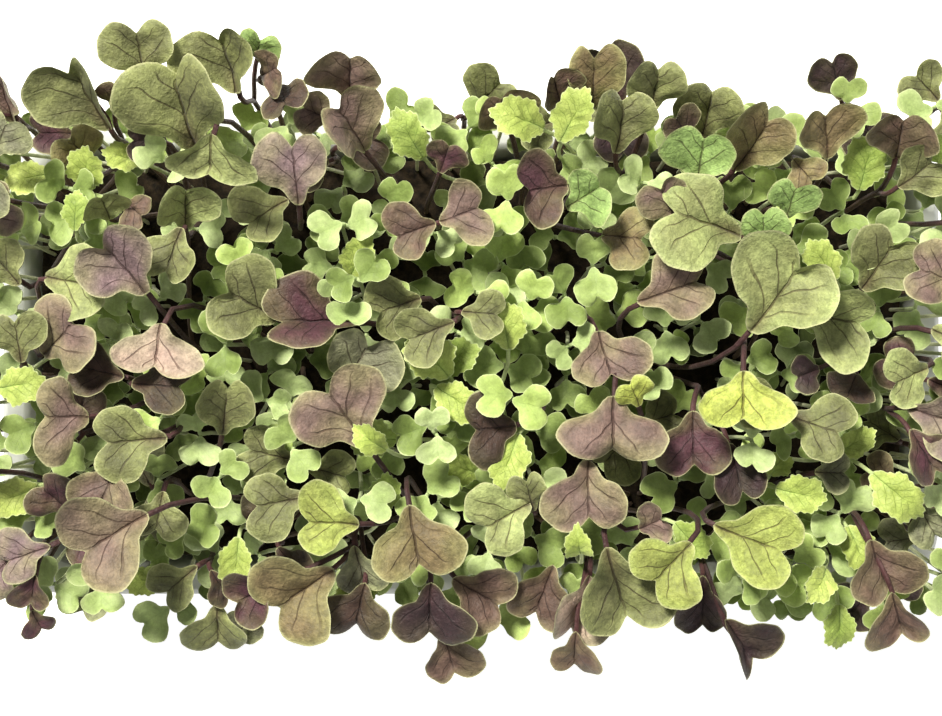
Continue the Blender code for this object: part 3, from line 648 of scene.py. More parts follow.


# The look of the leaves: the colour of the middle, of the outer part and of the thin pale rim,
# which is a painted edge highlight.

TONES = {
    "mauve": ((138, 116, 118), (150, 140, 112), (208, 208, 162)),
    "pink": ((186, 158, 146), (170, 158, 132), (220, 214, 176)),
    "plum": ((86, 54, 62), (98, 86, 64), (166, 160, 118)),
    "dark": ((60, 42, 46), (74, 64, 52), (134, 128, 94)),
    "bronze": ((126, 110, 78), (140, 134, 88), (196, 194, 138)),
    "olive": ((112, 114, 74), (138, 144, 90), (198, 206, 146)),
    "pale": ((146, 152, 98), (170, 182, 116), (216, 224, 166)),
    "brown": ((106, 84, 74), (122, 110, 82), (178, 170, 124)),
    "umber": ((70, 52, 44), (86, 78, 56), (144, 136, 96)),
    "yellow": ((176, 186, 86), (192, 204, 102), (226, 234, 152)),
    "lime": ((150, 158, 82), (176, 190, 100), (218, 228, 150)),
    "green": ((142, 170, 98), (158, 186, 110), (206, 222, 150)),
    "grey": ((120, 120, 96), (144, 148, 108), (196, 200, 150)),
    "dusk": ((126, 104, 96), (140, 130, 98), (198, 192, 144)),
}
BRASSICA_TONES = (
    ((150, 170, 96), (170, 190, 116), (214, 226, 162)),
    ((174, 192, 128), (192, 208, 148), (226, 234, 180)),
    ((126, 146, 74), (146, 166, 92), (196, 210, 140)),
    ((160, 180, 112), (182, 200, 134), (220, 230, 172)),
    ((166, 188, 100), (184, 206, 120), (222, 232, 158)),
)
MUSTARD_TONES = (
    ((168, 186, 92), (188, 204, 108), (220, 230, 150)),
    ((184, 200, 104), (200, 214, 122), (226, 234, 164)),
    ((146, 168, 80), (168, 188, 96), (208, 220, 140)),
)
STEM_TONES = {
    "radish": ((92, 54, 54), (64, 42, 42), (124, 102, 84)),
    "brassica": ((150, 176, 108), (186, 200, 146), (214, 214, 184)),
    "mustard": ((172, 196, 116), (196, 208, 150), (214, 216, 184)),
}

# The tones of the radish leaves, in the order of RADISH_SEEDLINGS.
RADISH_LOOKS = (
    "dusk dusk", "olive brown", "olive", "olive", "olive green", "brown umber", "dusk dusk",
    "dusk", "mauve", "plum bronze", "dark", "pale", "pale", "olive", "olive", "dusk",
    "pale brown", "mauve", "olive", "plum", "grey", "dusk", "olive", "dusk pale", "pink", "dusk",
    "olive dusk", "olive", "olive", "olive", "dusk", "olive", "mauve", "plum", "mauve", "plum",
    "olive umber", "olive", "olive", "lime", "plum bronze", "bronze", "grey umber", "dark",
    "brown", "brown", "brown", "pink brown", "olive", "lime", "dusk dusk", "pale olive", "dusk",
    "yellow", "yellow", "plum dark", "umber", "dusk", "dusk", "bronze", "plum green",
    "dusk brown", "plum", "pale dusk", "green green", "green", "bronze umber", "olive", "bronze",
    "brown olive", "bronze", "bronze brown", "brown", "olive olive", "pale", "pale", "olive",
    "pale", "mauve plum", "pale", "umber dark", "lime", "grey", "brown brown", "dark dark",
    "grey", "mauve", "olive", "dusk", "olive", "plum",
)

# Small green seed leaves and toothed leaves between them, read from the photograph as pixels of its
# 942 by 716 frame.
GREEN_SPOTS = (
    (74, 116), (34, 132), (268, 136), (244, 132), (222, 150), (158, 178), (174, 176), (228, 186),
    (266, 198), (56, 200), (58, 218), (414, 120), (424, 112), (436, 128), (468, 120), (494, 160),
    (584, 140), (596, 160), (418, 176), (450, 188), (426, 202), (328, 226), (350, 216), (506, 188),
    (824, 148), (858, 206), (268, 328), (254, 370), (168, 412), (200, 290), (220, 344), (280, 400),
    (28, 412), (26, 426), (206, 466), (246, 444), (62, 330), (148, 326), (329, 274), (350, 296),
    (478, 294), (518, 290), (540, 320), (568, 294), (594, 264), (598, 308), (572, 344), (452, 336),
    (506, 366), (532, 358), (546, 378), (396, 384), (434, 392), (408, 396), (490, 344), (478, 352),
    (520, 422), (536, 432), (558, 412), (426, 440), (442, 442), (428, 468), (386, 464), (366, 462),
    (540, 468), (674, 328), (670, 344), (654, 356), (680, 360), (746, 358), (648, 380), (686, 384),
    (754, 448), (798, 438), (864, 390), (894, 310), (876, 328), (888, 282), (834, 270), (852, 262),
    (796, 252), (708, 320), (716, 258), (226, 530), (180, 540), (190, 612), (96, 586), (12, 528),
    (426, 580), (458, 592), (536, 538), (524, 562), (556, 564), (426, 496), (374, 522), (494, 628),
    (722, 600), (716, 508), (820, 510), (808, 522), (714, 548), (810, 550), (762, 582), (760, 604),
    (792, 604), (800, 580), (844, 562), (818, 604), (732, 558), (928, 510), (742, 200),
)
TOOTHED_SPOTS = (
    (114, 152), (16, 142), (18, 174), (76, 210), (416, 142), (514, 128), (564, 128), (398, 162),
    (862, 160), (24, 378), (431, 354), (504, 326), (477, 383), (459, 406), (442, 420), (374, 438),
    (504, 458), (516, 396), (368, 266), (463, 472), (926, 268), (822, 260), (786, 466), (864, 444),
    (240, 560), (132, 588), (16, 496), (32, 508), (382, 496), (788, 490), (888, 494), (846, 540),
    (820, 584), (830, 624), (690, 528), (776, 512), (798, 512),
)
# Crumpled young leaves that stand up among the large ones
CRUMPLED_SPOTS = ((583, 542), (582, 572), (372, 438))
CRUMPLED_LEVEL = 74 * MM
PHOTO_MIDDLE = (471, 358)
PHOTO_SCALE = 0.24 * MM

# Extra seedlings stand under the others, on finer grids of cells: the pitch, the columns and rows,
# how far below the others they stand, and their kind.
UNDERGROWTH = (
    (22 * MM, 12, 6, (-4 * MM, 10 * MM), "radish"),
    (19 * MM, 13, 7, (8 * MM, 28 * MM), "radish"),
    (9 * MM, 30, 14, (-8 * MM, 8 * MM), "brassica"),
    (9.5 * MM, 28, 13, (4 * MM, 18 * MM), "brassica"),
    (10 * MM, 25, 12, (14 * MM, 28 * MM), "brassica"),
)
UNDER_TONES = ("dark", "umber", "plum", "brown", "olive", "dusk", "grey", "olive")

# Fineness of the finished leaves and stems
GRID_STEPS = {"RADISH": 14, "BRASSICA": 9, "MUSTARD": 20}
LEAF_THICKNESS = 0.45 * MM
# Leaves lower in the stand are painted darker, as painted shade under the canopy: the share of
# their colour left at the lower of two heights.
PAINTED_SHADE_LEVEL = 45 * MM
UNSHADED_LEVEL = 80 * MM
PAINTED_SHADE_SHARE = 0.27
BASE_TAPER = math.radians(19)
# How far a leaf runs down its stalk, and how much deeper its notch is cut, in half widths
WING = 0.26
CLEFT = 0.22
STALK_SIDES = 7
FINE_STEPS = 6

MEDIUM_NAME = "growing_medium"
TRAY_NAME = "tray"


def linear(color):
    """A colour of 0 to 255, as the eye reads it off a screen, in the renderer's linear values."""
    return Vector([((part / 255 + 0.055) / 1.055) ** 2.4 for part in color])


def smooth(low, high, value):
    step = min(max((value - low) / (high - low), 0), 1)
    return step * step * (3 - 2 * step)


# Fine leaves and stems


def new_greens():
    bm = bmesh.new()
    bm.verts.layers.float_vector.new("place")
    bm.verts.layers.float_color.new("tone")
    return bm


def verts_after(bm, count):
    bm.verts.ensure_lookup_table()
    return bm.verts[count:]


def fine_edge(blade, angle, sway):
    """The leaf's outline between the frame's corner points, with its small irregular waves."""
    leaf, turn = blade.leaf, abs(angle)
    wave = 1 + 0.022 * math.sin(5 * angle + sway) + 0.012 * math.sin(11 * angle + 2 * sway)
    if leaf is MUSTARD:
        across, along = drawn_out(blade, *true_leaf_edge(leaf, angle))
        nick = 1 + 0.05 * math.sin(20 * angle) * smooth(math.pi, 2.4, turn)
        base = 1 + 0.10 * math.exp(-(((math.pi - turn) / math.radians(14)) ** 2))
        return across * nick * wave, along * nick * base
    across, along = drawn_out(blade, *seed_leaf_edge(leaf, angle))
    taper = math.exp(-(((math.pi - turn) / BASE_TAPER) ** 2))
    base = (leaf.base_reach + WING - LEAST_REACH) * taper
    across, along = across + base * math.sin(angle), along + blade.long * base * math.cos(angle)
    cleft = 1 - (0.5 + leaf.notch) * CLEFT * math.exp(-((turn / NOTCH_ANGLE) ** 2))
    return across * wave * cleft, along * wave * cleft


def fine_rise(blade, across, along, reach, sway):
    fold = blade.fold * (math.sqrt(across * across + 0.01) - 0.1)
    cup = 0.16 * math.sin(sway) * (reach**4 - 0.3 * reach**2)
    curl = 0.11 * math.sin(3 * math.atan2(across, along) + 2 * sway) * reach**3
    ripple = 0.07 * noise.noise(Vector((2.6 * across + sway, 2.6 * along, sway)))
    held = smooth(-1.0, -0.3, along)
    groove = 0.06 * math.exp(-((across / 0.07) ** 2)) * smooth(0.55, 0.0, along)
    pillow = 0.026 * math.cos(8.5 * (along - 0.8 * abs(across)) + sway) * smooth(1.0, 0.5, reach)
    return fold + blade.bend * along * along + held * (cup + curl + ripple + pillow) - groove


def fine_leaf(bm, blade, look, named, rng):
    """One leaf: a grid drawn to the leaf's outline and cupped, then given its thickness."""
    place = bm.verts.layers.float_vector["place"]
    tone = bm.verts.layers.float_color["tone"]
    frame_of_leaf, half = blade_frame(blade), blade.width / 2
    sway, seed = rng.uniform(0, math.tau), rng.random()
    # Painted shade: seedlings that are not named get colours that darken the lower the leaf stands.
    depth = 1 if named else smooth(PAINTED_SHADE_LEVEL, UNSHADED_LEVEL, blade.centre.z)
    middle, outer, rim = [linear(color) * (PAINTED_SHADE_SHARE + (1 - PAINTED_SHADE_SHARE) * depth) for color in look]
    stem_tint = linear(STEM_TONES[kind_of(blade)][0])
    steps = GRID_STEPS[leaf_name(blade.leaf)]
    made = bmesh.ops.create_grid(bm, x_segments=steps, y_segments=steps, size=1)["verts"]
    for vert in made:
        x, y = vert.co.x, vert.co.y
        right, ahead = x * math.sqrt(1 - y * y / 2), y * math.sqrt(1 - x * x / 2)
        reach = min(math.hypot(right, ahead), 1)
        edge_across, edge_along = fine_edge(blade, math.atan2(right, ahead), sway)
        across, along = reach * edge_across, reach * edge_along
        patch = 0.5 + 1.1 * noise.noise(Vector((1.7 * across, 1.7 * along, 9 * sway)))
        color = middle.lerp(outer, min(max(0.75 * reach * reach + patch - 0.45, 0), 1))
        # Painted highlight: the colour turns paler towards the leaf's edge.
        color = color.lerp(rim, 0.25 * smooth(0.85, 1.0, reach))
        color = color.lerp(
            stem_tint, 0.45 * smooth(0.25, 0.0, abs(across)) * smooth(0.1, 0.9, -along)
        )
        vert[place] = Vector((across, along, reach))
        vert[tone] = (*color, seed + (blade.leaf is MUSTARD))
        height = fine_rise(blade, across, along, reach, sway) * half + LEAF_THICKNESS / 2
        vert.co = frame_of_leaf @ Vector((across * half, along * half, height))
    faces = {face for vert in made for face in vert.link_faces}
    bmesh.ops.solidify(bm, geom=list(faces), thickness=LEAF_THICKNESS)
    return sway


def leaf_name(leaf):
    return {RADISH.segments: "RADISH", BRASSICA.segments: "BRASSICA"}.get(leaf.segments, "MUSTARD")


def kind_of(blade):
    return leaf_name(blade.leaf).lower()


def fine_stalk(bm, points, radii, tones, side, flat):
    """A round stalk through the points. It starts flattened, along the side, under its leaf."""
    place = bm.verts.layers.float_vector["place"]
    tone = bm.verts.layers.float_color["tone"]
    before, steps = len(bm.verts), len(points) - 1
    bmesh.ops.create_cone(
        bm, cap_ends=True, segments=STALK_SIDES, radius1=1, radius2=1, depth=steps
    )
    upright = {
        edge
        for vert in verts_after(bm, before)
        for edge in vert.link_edges
        if abs(edge.verts[0].co.z - edge.verts[1].co.z) > 0.5
    }
    bmesh.ops.subdivide_edges(bm, edges=list(upright), cuts=steps - 1)
    frames = []
    way = (points[1] - points[0]).normalized()
    side = (side - way * side.dot(way)).normalized()
    for index, point in enumerate(points):
        after, before_it = points[min(index + 1, steps)], points[max(index - 1, 0)]
        new_way = (after - before_it).normalized()
        side = way.rotation_difference(new_way) @ side
        way = new_way
        frames.append((point, side.copy(), way.cross(side)))
    for vert in verts_after(bm, before):
        index = round(vert.co.z + steps / 2)
        point, across, over = frames[index]
        share = index / steps
        widen = 1 + flat * smooth(0.3, 0.0, share)
        radius = radii[0] + (radii[1] - radii[0]) * smooth(0.0, 0.25, share)
        color = tones[0].lerp(tones[1], smooth(0.05, 0.5, share))
        color = color.lerp(tones[2], smooth(0.5, 1.0, share))
        vert[place] = Vector((0.5, 3 * share, -1))
        vert[tone] = (*color, 0.5)
        vert.co = point + radius * (vert.co.x * widen * across + vert.co.y * over)


def grow_fine(bm, seedling, looks, named, rng):
    """Every leaf and stalk of one seedling. A named look is read from the photograph as it is."""
    radius = seedling.stem_radius
    tones = [linear(color) for color in STEM_TONES[kind_of(seedling.blades[0])]]
    for order, (blade, path, look) in enumerate(
        zip(seedling.blades, seedling_paths(seedling, FINE_STEPS), looks)
    ):
        sway = fine_leaf(bm, blade, look, named, rng)
        half = blade.width / 2
        frame_of_leaf = blade_frame(blade)
        wing = 0 if blade.leaf is MUSTARD else WING
        wing_share = blade.leaf.base_reach / (blade.leaf.base_reach + wing)
        under = []
        for reach, drop in ((0.15, 0.5), (0.5, 0.75), (0.8, 0.95), (1.0, 0.95)):
            along = -reach * blade.leaf.base_reach * blade.long
            height = fine_rise(blade, 0, along, wing_share * reach, sway) * half - drop * radius
            under.append(frame_of_leaf @ Vector((0, along * half, height)))
        side, normal = [frame_of_leaf.to_3x3() @ Vector(way) for way in ((1, 0, 0), (0, 0, 1))]
        path = [path[0] - normal * 0.7 * radius, path[1] - normal * 0.35 * radius, *path[2:]]
        ends = [tones[0], tones[0].lerp(tones[1], 0.4), tones[1]] if order else tones
        slim = 0.66 if order else 0.74
        fine_stalk(bm, under + path, (0.3 * radius, slim * radius), ends, side, 0.8)


def finish_greens(bm, name, material, node=None):
    mesh = bpy.data.meshes.new(name)
    bmesh.ops.recalc_face_normals(bm, faces=bm.faces)
    bm.to_mesh(mesh)
    bm.free()
    mesh.shade_smooth()
    mesh.set_sharp_from_angle(angle=math.radians(48))
    mesh.materials.append(material)
    piece = bpy.data.objects.new(name, mesh)
    bpy.context.scene.collection.objects.link(piece)
    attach(piece, "root")
    if node:
        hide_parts(node)
    return piece


# Materials


class Wiring:
    """Adds nodes to a tree and links them, one call for each node."""

    def __init__(self, tree):
        self.tree = tree

    def node(self, kind, inputs=(), **settings):
        made = self.tree.nodes.new(kind)
        for name, value in settings.items():
            setattr(made, name, value)
        for name, value in dict(inputs).items():
            socket = made.inputs[name]
            if isinstance(value, bpy.types.NodeSocket):
                self.tree.links.new(value, socket)
            else:
                socket.default_value = value
        return made

    def math(self, operation, first, second=0.0, third=0.0):
        return self.node(
            "ShaderNodeMath", {0: first, 1: second, 2: third}, operation=operation
        ).outputs[0]

    def step(self, value, low, high, to_low=0.0, to_high=1.0):
        return self.node(
            "ShaderNodeMapRange",
            {
                "Value": value, "From Min": low, "From Max": high,
                "To Min": to_low, "To Max": to_high,
            },
            interpolation_type="SMOOTHSTEP",
        ).outputs[0]

    def mix(self, share, first, second, blend="MIX"):
        made = self.node("ShaderNodeMix", {0: share}, data_type="RGBA", blend_type=blend)
        for socket, value in ((made.inputs[6], first), (made.inputs[7], second)):
            if isinstance(value, bpy.types.NodeSocket):
                self.tree.links.new(value, socket)
            else:
                socket.default_value = (*value, 1)
        return made.outputs[2]


def vein_group():
    """Masks of a leaf's veins: the midrib, its side veins and the fine net between them."""
    group = bpy.data.node_groups.new("leaf_veins", "ShaderNodeTree")
    for name, kind in (("Place", "NodeSocketVector"), ("Seed", "NodeSocketFloat")):
        group.interface.new_socket(name, in_out="INPUT", socket_type=kind)
    for name in ("Vein", "Net", "Rim"):
        group.interface.new_socket(name, in_out="OUTPUT", socket_type="NodeSocketFloat")
    wire = Wiring(group)
    given = wire.node("NodeGroupInput")
    parts = wire.node("ShaderNodeSeparateXYZ", {0: given.outputs["Place"]})
    side = wire.math("ABSOLUTE", parts.outputs[0])
    edge = parts.outputs[2]
    wander = wire.node(
        "ShaderNodeTexNoise", {"Vector": given.outputs["Place"], "Scale": 1.5, "Detail": 0.6}
    ).outputs[0]
    bow = wire.math("MULTIPLY_ADD", wire.math("MULTIPLY", side, side), 0.55, parts.outputs[1])
    slope = wire.math("MULTIPLY_ADD", side, -1.35, bow)
    slope = wire.math("MULTIPLY_ADD", wander, 0.5, slope)
    slope = wire.math("ADD", slope, given.outputs["Seed"])
    turn = wire.math("FRACT", wire.math("MULTIPLY", slope, 2.1))
    off = wire.math("ABSOLUTE", wire.math("SUBTRACT", turn, 0.5))
    fade = wire.step(edge, 0.5, 0.92, 1.0, 0.0)
    branch = wire.math("MULTIPLY", wire.step(off, 0.02, 0.055, 1.0, 0.0), fade)
    rib_length = wire.step(parts.outputs[1], 0.1, 0.6, 1.0, 0.0)
    sideways = wire.math("MULTIPLY", wire.math("SUBTRACT", wander, 0.5), 0.16)
    bent = wire.math("ABSOLUTE", wire.math("ADD", sideways, parts.outputs[0]))
    rib = wire.math("MULTIPLY", wire.step(bent, 0.01, 0.034, 1.0, 0.0), rib_length)
    net = wire.node(
        "ShaderNodeTexVoronoi",
        {"Vector": given.outputs["Place"], "Scale": 3.4},
        feature="DISTANCE_TO_EDGE",
    ).outputs[0]
    net = wire.step(net, 0.01, 0.09, 1.0, 0.0)
    on_leaf = wire.math("GREATER_THAN", edge, -0.5)
    put = wire.node("NodeGroupOutput")
    vein = wire.math("MULTIPLY", wire.math("MAXIMUM", branch, rib), on_leaf)
    group.links.new(vein, put.inputs["Vein"])
    group.links.new(wire.math("MULTIPLY", net, on_leaf), put.inputs["Net"])
    # The Rim mask marks the thin edge that gets a painted highlight.
    group.links.new(wire.step(edge, 0.96, 0.985), put.inputs["Rim"])
    return group


def greens_material(name, group, vein_shade, vein_share, rim_highlight_tint, rim_highlight_share, mottled, relief):
    """Living leaf and stem: the tone painted on the mesh, with veins, a pale rim of painted
    highlight, mottle and speckle.
    """
    material = bpy.data.materials.new(name)
    material.use_nodes = True
    wire = Wiring(material.node_tree)
    shader = material.node_tree.nodes["Principled BSDF"]
    tone = wire.node("ShaderNodeAttribute", attribute_name="tone")
    place = wire.node("ShaderNodeAttribute", attribute_name="place")
    here = wire.node("ShaderNodeTexCoord").outputs["Object"]
    seed = wire.math("FRACT", tone.outputs["Alpha"])
    toothed = wire.math("GREATER_THAN", tone.outputs["Alpha"], 1.0)
    veins = wire.node("ShaderNodeGroup", node_tree=group)
    material.node_tree.links.new(place.outputs["Vector"], veins.inputs["Place"])
    material.node_tree.links.new(seed, veins.inputs["Seed"])
    speckle, mottle, blotch = [
        wire.node(
            "ShaderNodeTexNoise", {"Vector": here, "Scale": scale, "Detail": 3.0, "Roughness": 0.65}
        ).outputs[0]
        for scale in (1900.0, 620.0, 190.0)
    ]
    shade = wire.math("MULTIPLY", wire.step(speckle, 0.3, 0.7, 0.86, 1.12),
                      wire.step(blotch, 0.3, 0.7, 0.78, 1.16))
    shade = wire.math("MULTIPLY", shade, wire.step(mottle, 0.32, 0.68, 0.8, 1.16))
    grey = wire.node("ShaderNodeCombineColor", {0: shade, 1: shade, 2: shade}).outputs[0]
    color = wire.mix(mottled, tone.outputs["Color"], grey, "MULTIPLY")
    net_share = wire.math("MULTIPLY_ADD", toothed, 0.16, 0.07)
    vein_line = wire.math(
        "MULTIPLY", veins.outputs["Vein"], wire.math("MULTIPLY_ADD", toothed, 0.4, vein_share)
    )
    line = wire.math("MAXIMUM", vein_line, wire.math("MULTIPLY", veins.outputs["Net"], net_share))
    color = wire.mix(line, color, vein_shade, "MULTIPLY")
    # Painted highlight: a thin pale line along the leaf's edge.
    color = wire.mix(wire.math("MULTIPLY", veins.outputs["Rim"], rim_highlight_share), color, rim_highlight_tint)
    height = wire.math("MULTIPLY_ADD", mottle, 0.9, wire.math("MULTIPLY", line, -0.8))
    height = wire.math("MULTIPLY_ADD", speckle, 0.25, height)
    bump = wire.node("ShaderNodeBump", {"Height": height, "Strength": 0.8, "Distance": relief})
    material.node_tree.links.new(color, shader.inputs["Base Color"])
    material.node_tree.links.new(bump.outputs[0], shader.inputs["Normal"])
    material.node_tree.links.new(
        wire.step(speckle, 0.3, 0.7, 0.5, 0.7), shader.inputs["Roughness"]
    )
    shader.inputs["Sheen Weight"].default_value = 0.04
    shader.inputs["Sheen Roughness"].default_value = 0.5
    shader.inputs["Specular IOR Level"].default_value = 0.4
    return material


def noisy_material(name, dark, light, scale, roughness, bump_depth, specular):
    """A material whose colour and height follow one noise on the object's own coordinates."""
    material = bpy.data.materials.new(name)
    material.use_nodes = True
    wire = Wiring(material.node_tree)
    shader = material.node_tree.nodes["Principled BSDF"]
    here = wire.node("ShaderNodeTexCoord").outputs["Object"]
    coarse = wire.node(
        "ShaderNodeTexNoise", {"Vector": here, "Scale": scale, "Detail": 5.0, "Roughness": 0.65}
    ).outputs[0]
    fine = wire.node(
        "ShaderNodeTexNoise", {"Vector": here, "Scale": 6 * scale, "Detail": 3.0}
    ).outputs[0]
    share = wire.step(coarse, 0.3, 0.7)
    color = wire.mix(share, linear(dark), linear(light))
    height = wire.math("MULTIPLY_ADD", fine, 0.4, coarse)
    bump = wire.node("ShaderNodeBump", {"Height": height, "Strength": 0.7, "Distance": bump_depth})
    material.node_tree.links.new(color, shader.inputs["Base Color"])
    material.node_tree.links.new(bump.outputs[0], shader.inputs["Normal"])
    material.node_tree.links.new(
        wire.step(fine, 0.3, 0.7, roughness - 0.06, roughness + 0.08), shader.inputs["Roughness"]
    )
    shader.inputs["Specular IOR Level"].default_value = specular
    return material


# The seedlings that stand between those of the frame


def spot_place(spot):
    return Vector(
        ((spot[0] - PHOTO_MIDDLE[0]) * PHOTO_SCALE, (PHOTO_MIDDLE[1] - spot[1]) * PHOTO_SCALE, 0)
    )


# How far along and across the medium a foot may stand, where its round corners have their middles
# and their radius, and in millimetres how far a foot may be moved
FOOT_REACH_X, FOOT_REACH_Y = 115 * MM, 51 * MM
FOOT_CORNER_X, FOOT_CORNER_Y = 99 * MM, 36 * MM
FOOT_CORNER = 15 * MM
FOOT_PLAY = 3
FREE_ROOT_SUNK = 2 * MM


def inside_medium(place):
    """The nearest point of the medium's round-cornered top."""
    x, y = min(abs(place.x), FOOT_REACH_X), min(abs(place.y), FOOT_REACH_Y)
    over = Vector((max(x - FOOT_CORNER_X, 0), max(y - FOOT_CORNER_Y, 0)))
    if over.length > FOOT_CORNER:
        over *= FOOT_CORNER / over.length
        x, y = min(x, FOOT_CORNER_X + over.x), min(y, FOOT_CORNER_Y + over.y)
    return Vector((math.copysign(x, place.x), math.copysign(y, place.y), 0))


def set_free_seedling(blades, stem_radius, rng, grown, tries):
    """Sets a seedling that stands in the medium by itself, behind its leaves."""
    feet = [base - grow * FOOT_BEHIND for base, grow in map(blade_base, blades)]
    foot = inside_medium(sum(feet, Vector()) / len(feet))
    for attempt in range(tries):
        trial = nudged(blades, rng, attempt / tries)
        shift = [rng.uniform(-FOOT_PLAY, FOOT_PLAY) * MM for _ in range(2)]
        root = foot + Vector((*shift, MEDIUM_TOP - FREE_ROOT_SUNK))
        seedling = Seedling(root, trial, stem_radius)
        shape = tree_of(seedling_solids(seedling))
        if is_clear(*shape, grown):
            grown.append(Grown(seedling, None, *shape))
            return seedling
    return None


# Small toothed leaves: heights and widths in millimetres, then how far they are tipped and rolled
TOOTHED_HEIGHT = (48, 66)
TOOTHED_WIDTH = (6, 8.5)
TOOTHED_PITCH = (5, 35)
TOOTHED_ROLL = (-12, 12)


def toothed_blades(place, rng):
    center = Vector((place.x, place.y, MEDIUM_TOP + between(rng, TOOTHED_HEIGHT) * MM))
    return [
        Blade(
            MUSTARD, center, between(rng, TOOTHED_WIDTH) * MM, rng.uniform(0, 360),
            between(rng, TOOTHED_PITCH), between(rng, TOOTHED_ROLL),
            between(rng, MUSTARD.fold), between(rng, MUSTARD.bend),
            between(rng, MUSTARD.long), 0.0,
        )
    ]


# The low radish pairs: the larger leaf's width in millimetres, the height of the pair, how far the
# second leaf turns from facing the first, its share of the first one's width, and their pitch
LOW_WIDTH = (13, 18)
LOW_HEIGHT = 62 * MM
LOW_SKEW = 30
LOW_SECOND = (0.7, 0.9)
LOW_PITCH = (0, 30)
LOW_APART = 3 * MM


def low_radish_blades(place, rng):
    """A pair of radish leaves that stands among the small green ones."""
    heading, width = rng.uniform(0, 360), between(rng, LOW_WIDTH) * MM
    joint = Vector((place.x, place.y, MEDIUM_TOP + LOW_HEIGHT))
    blades = []
    other = (180 + rng.uniform(-LOW_SKEW, LOW_SKEW), between(rng, LOW_SECOND))
    for turn, size in ((0, 1), other):
        blade = Blade(
            RADISH, Vector(), width * size, heading + turn, between(rng, LOW_PITCH),
            rng.uniform(-MOST_ROLL, MOST_ROLL), between(rng, RADISH.fold),
            between(rng, RADISH.bend),
            between(rng, RADISH.long), rng.uniform(-1, 1) * MOST_LEAN,
        )
        base = blade_base(blade)[0]
        apart = Matrix.Rotation(math.radians(blade.heading), 3, "Z") @ Vector((LOW_APART, 0, 0))
        blades.append(blade._replace(centre=joint + apart - base))
    return blades


# The crumpled leaves' width, fold and bend, then the seeds and the tries of each kind of extra
# seedling, how near two toothed leaves may stand, and how far the undergrowth strays in its cells
CRUMPLED_WIDTH = 6.5 * MM
CRUMPLED_FOLD = 0.9
CRUMPLED_BEND = -0.5
CRUMPLED_SEED = 3000
TOOTHED_SEED = 4000
GREEN_SEED = 5000
UNDER_SEED = 6000
CRUMPLED_TRIES = 25
SPOT_TRIES = 12
UNDER_TRIES = 5
TOOTHED_APART = 8 * MM
UNDER_JITTER = 0.45


def extra_seedlings(grown):
    """The small seedlings that the photograph shows between the others, and those under them."""
    extra = []
    for index, spot in enumerate(CRUMPLED_SPOTS):
        rng = random.Random(CRUMPLED_SEED + index)
        place = spot_place(spot) + UP * (MEDIUM_TOP + CRUMPLED_LEVEL)
        blades = [
            blade._replace(
                centre=place, width=CRUMPLED_WIDTH, fold=CRUMPLED_FOLD, bend=CRUMPLED_BEND
            )
            for blade in toothed_blades(place, rng)
        ]
        extra.append(set_free_seedling(blades, BRASSICA_STEM, rng, grown, CRUMPLED_TRIES))
    first_blades = [plant.seedling.blades[0] for plant in grown]
    toothed = [blade for blade in first_blades if blade.leaf is MUSTARD]
    for index, spot in enumerate(TOOTHED_SPOTS):
        rng = random.Random(TOOTHED_SEED + index)
        blades = toothed_blades(spot_place(spot), rng)
        middle = blades[0].centre.xy
        if any((blade.centre.xy - middle).length < TOOTHED_APART for blade in toothed):
            continue
        extra.append(set_free_seedling(blades, BRASSICA_STEM, rng, grown, SPOT_TRIES))
    for index, spot in enumerate(GREEN_SPOTS):
        rng = random.Random(GREEN_SEED + index)
        blades = brassica_blades(spot_place(spot), rng)
        extra.append(set_free_seedling(blades, BRASSICA_STEM, rng, grown, SPOT_TRIES))
    for layer, (cell, columns, rows, drop, kind) in enumerate(UNDERGROWTH):
        for index in range(columns * rows):
            rng = random.Random(UNDER_SEED + 1000 * layer + index)
            column, row = index % columns, index // columns
            place = Vector(
                (
                    (column - (columns - 1) / 2 + rng.uniform(-UNDER_JITTER, UNDER_JITTER)) * cell,
                    (row - (rows - 1) / 2 + rng.uniform(-UNDER_JITTER, UNDER_JITTER)) * cell,
                    0,
                )
            )
            lower = UP * between(rng, drop)
            make = low_radish_blades if kind == "radish" else brassica_blades
            blades = [
                blade._replace(centre=blade.centre - lower) for blade in make(place, rng)
            ]
            radius = RADISH_STEM if kind == "radish" else BRASSICA_STEM
            extra.append(set_free_seedling(blades, radius, rng, grown, UNDER_TRIES))
    return [seedling for seedling in extra if seedling]


def looks_of(plant_index, seedling, rng):
    if seedling.blades[0].leaf is RADISH and plant_index is None:
        return [TONES[rng.choice(UNDER_TONES)]] * 2
    if seedling.blades[0].leaf is RADISH:
        return [TONES[name] for name in RADISH_LOOKS[plant_index].split()]
    if seedling.blades[0].leaf is MUSTARD:
        return [rng.choice(MUSTARD_TONES)]
    tone = rng.choice(BRASSICA_TONES)
    return [tone, tone]


# The tray and the growing medium


def drilled(piece):
    """Gives the tray its thickness and cuts the drain holes through its floor."""
    bm = bmesh.new()
    for column in range(DRAIN_COLUMNS):
        for side in (-0.5, 0.5):
            place = ((column - (DRAIN_COLUMNS - 1) / 2) * DRAIN_PITCH_X, side * DRAIN_PITCH_Y, 0)
            bmesh.ops.create_cone(
                bm, cap_ends=True, segments=DRAIN_SIDES, radius1=DRAIN_RADIUS,
                radius2=DRAIN_RADIUS, depth=4 * TRAY_WALL, matrix=Matrix.Translation(place),
            )
    mesh = bpy.data.meshes.new("drains")
    bm.to_mesh(mesh)
    bm.free()
    drains = bpy.data.objects.new("drains", mesh)
    bpy.context.scene.collection.objects.link(drains)
    cut = piece.modifiers.new("Drain holes", "BOOLEAN")
    cut.solver = "EXACT"
    cut.object = drains
    evaluated = piece.evaluated_get(bpy.context.evaluated_depsgraph_get())
    whole = bpy.data.meshes.new_from_object(evaluated)
    piece.modifiers.clear()
    piece.data = whole
    bpy.data.objects.remove(drains)


RIM_ROUND = 0.4 * MM


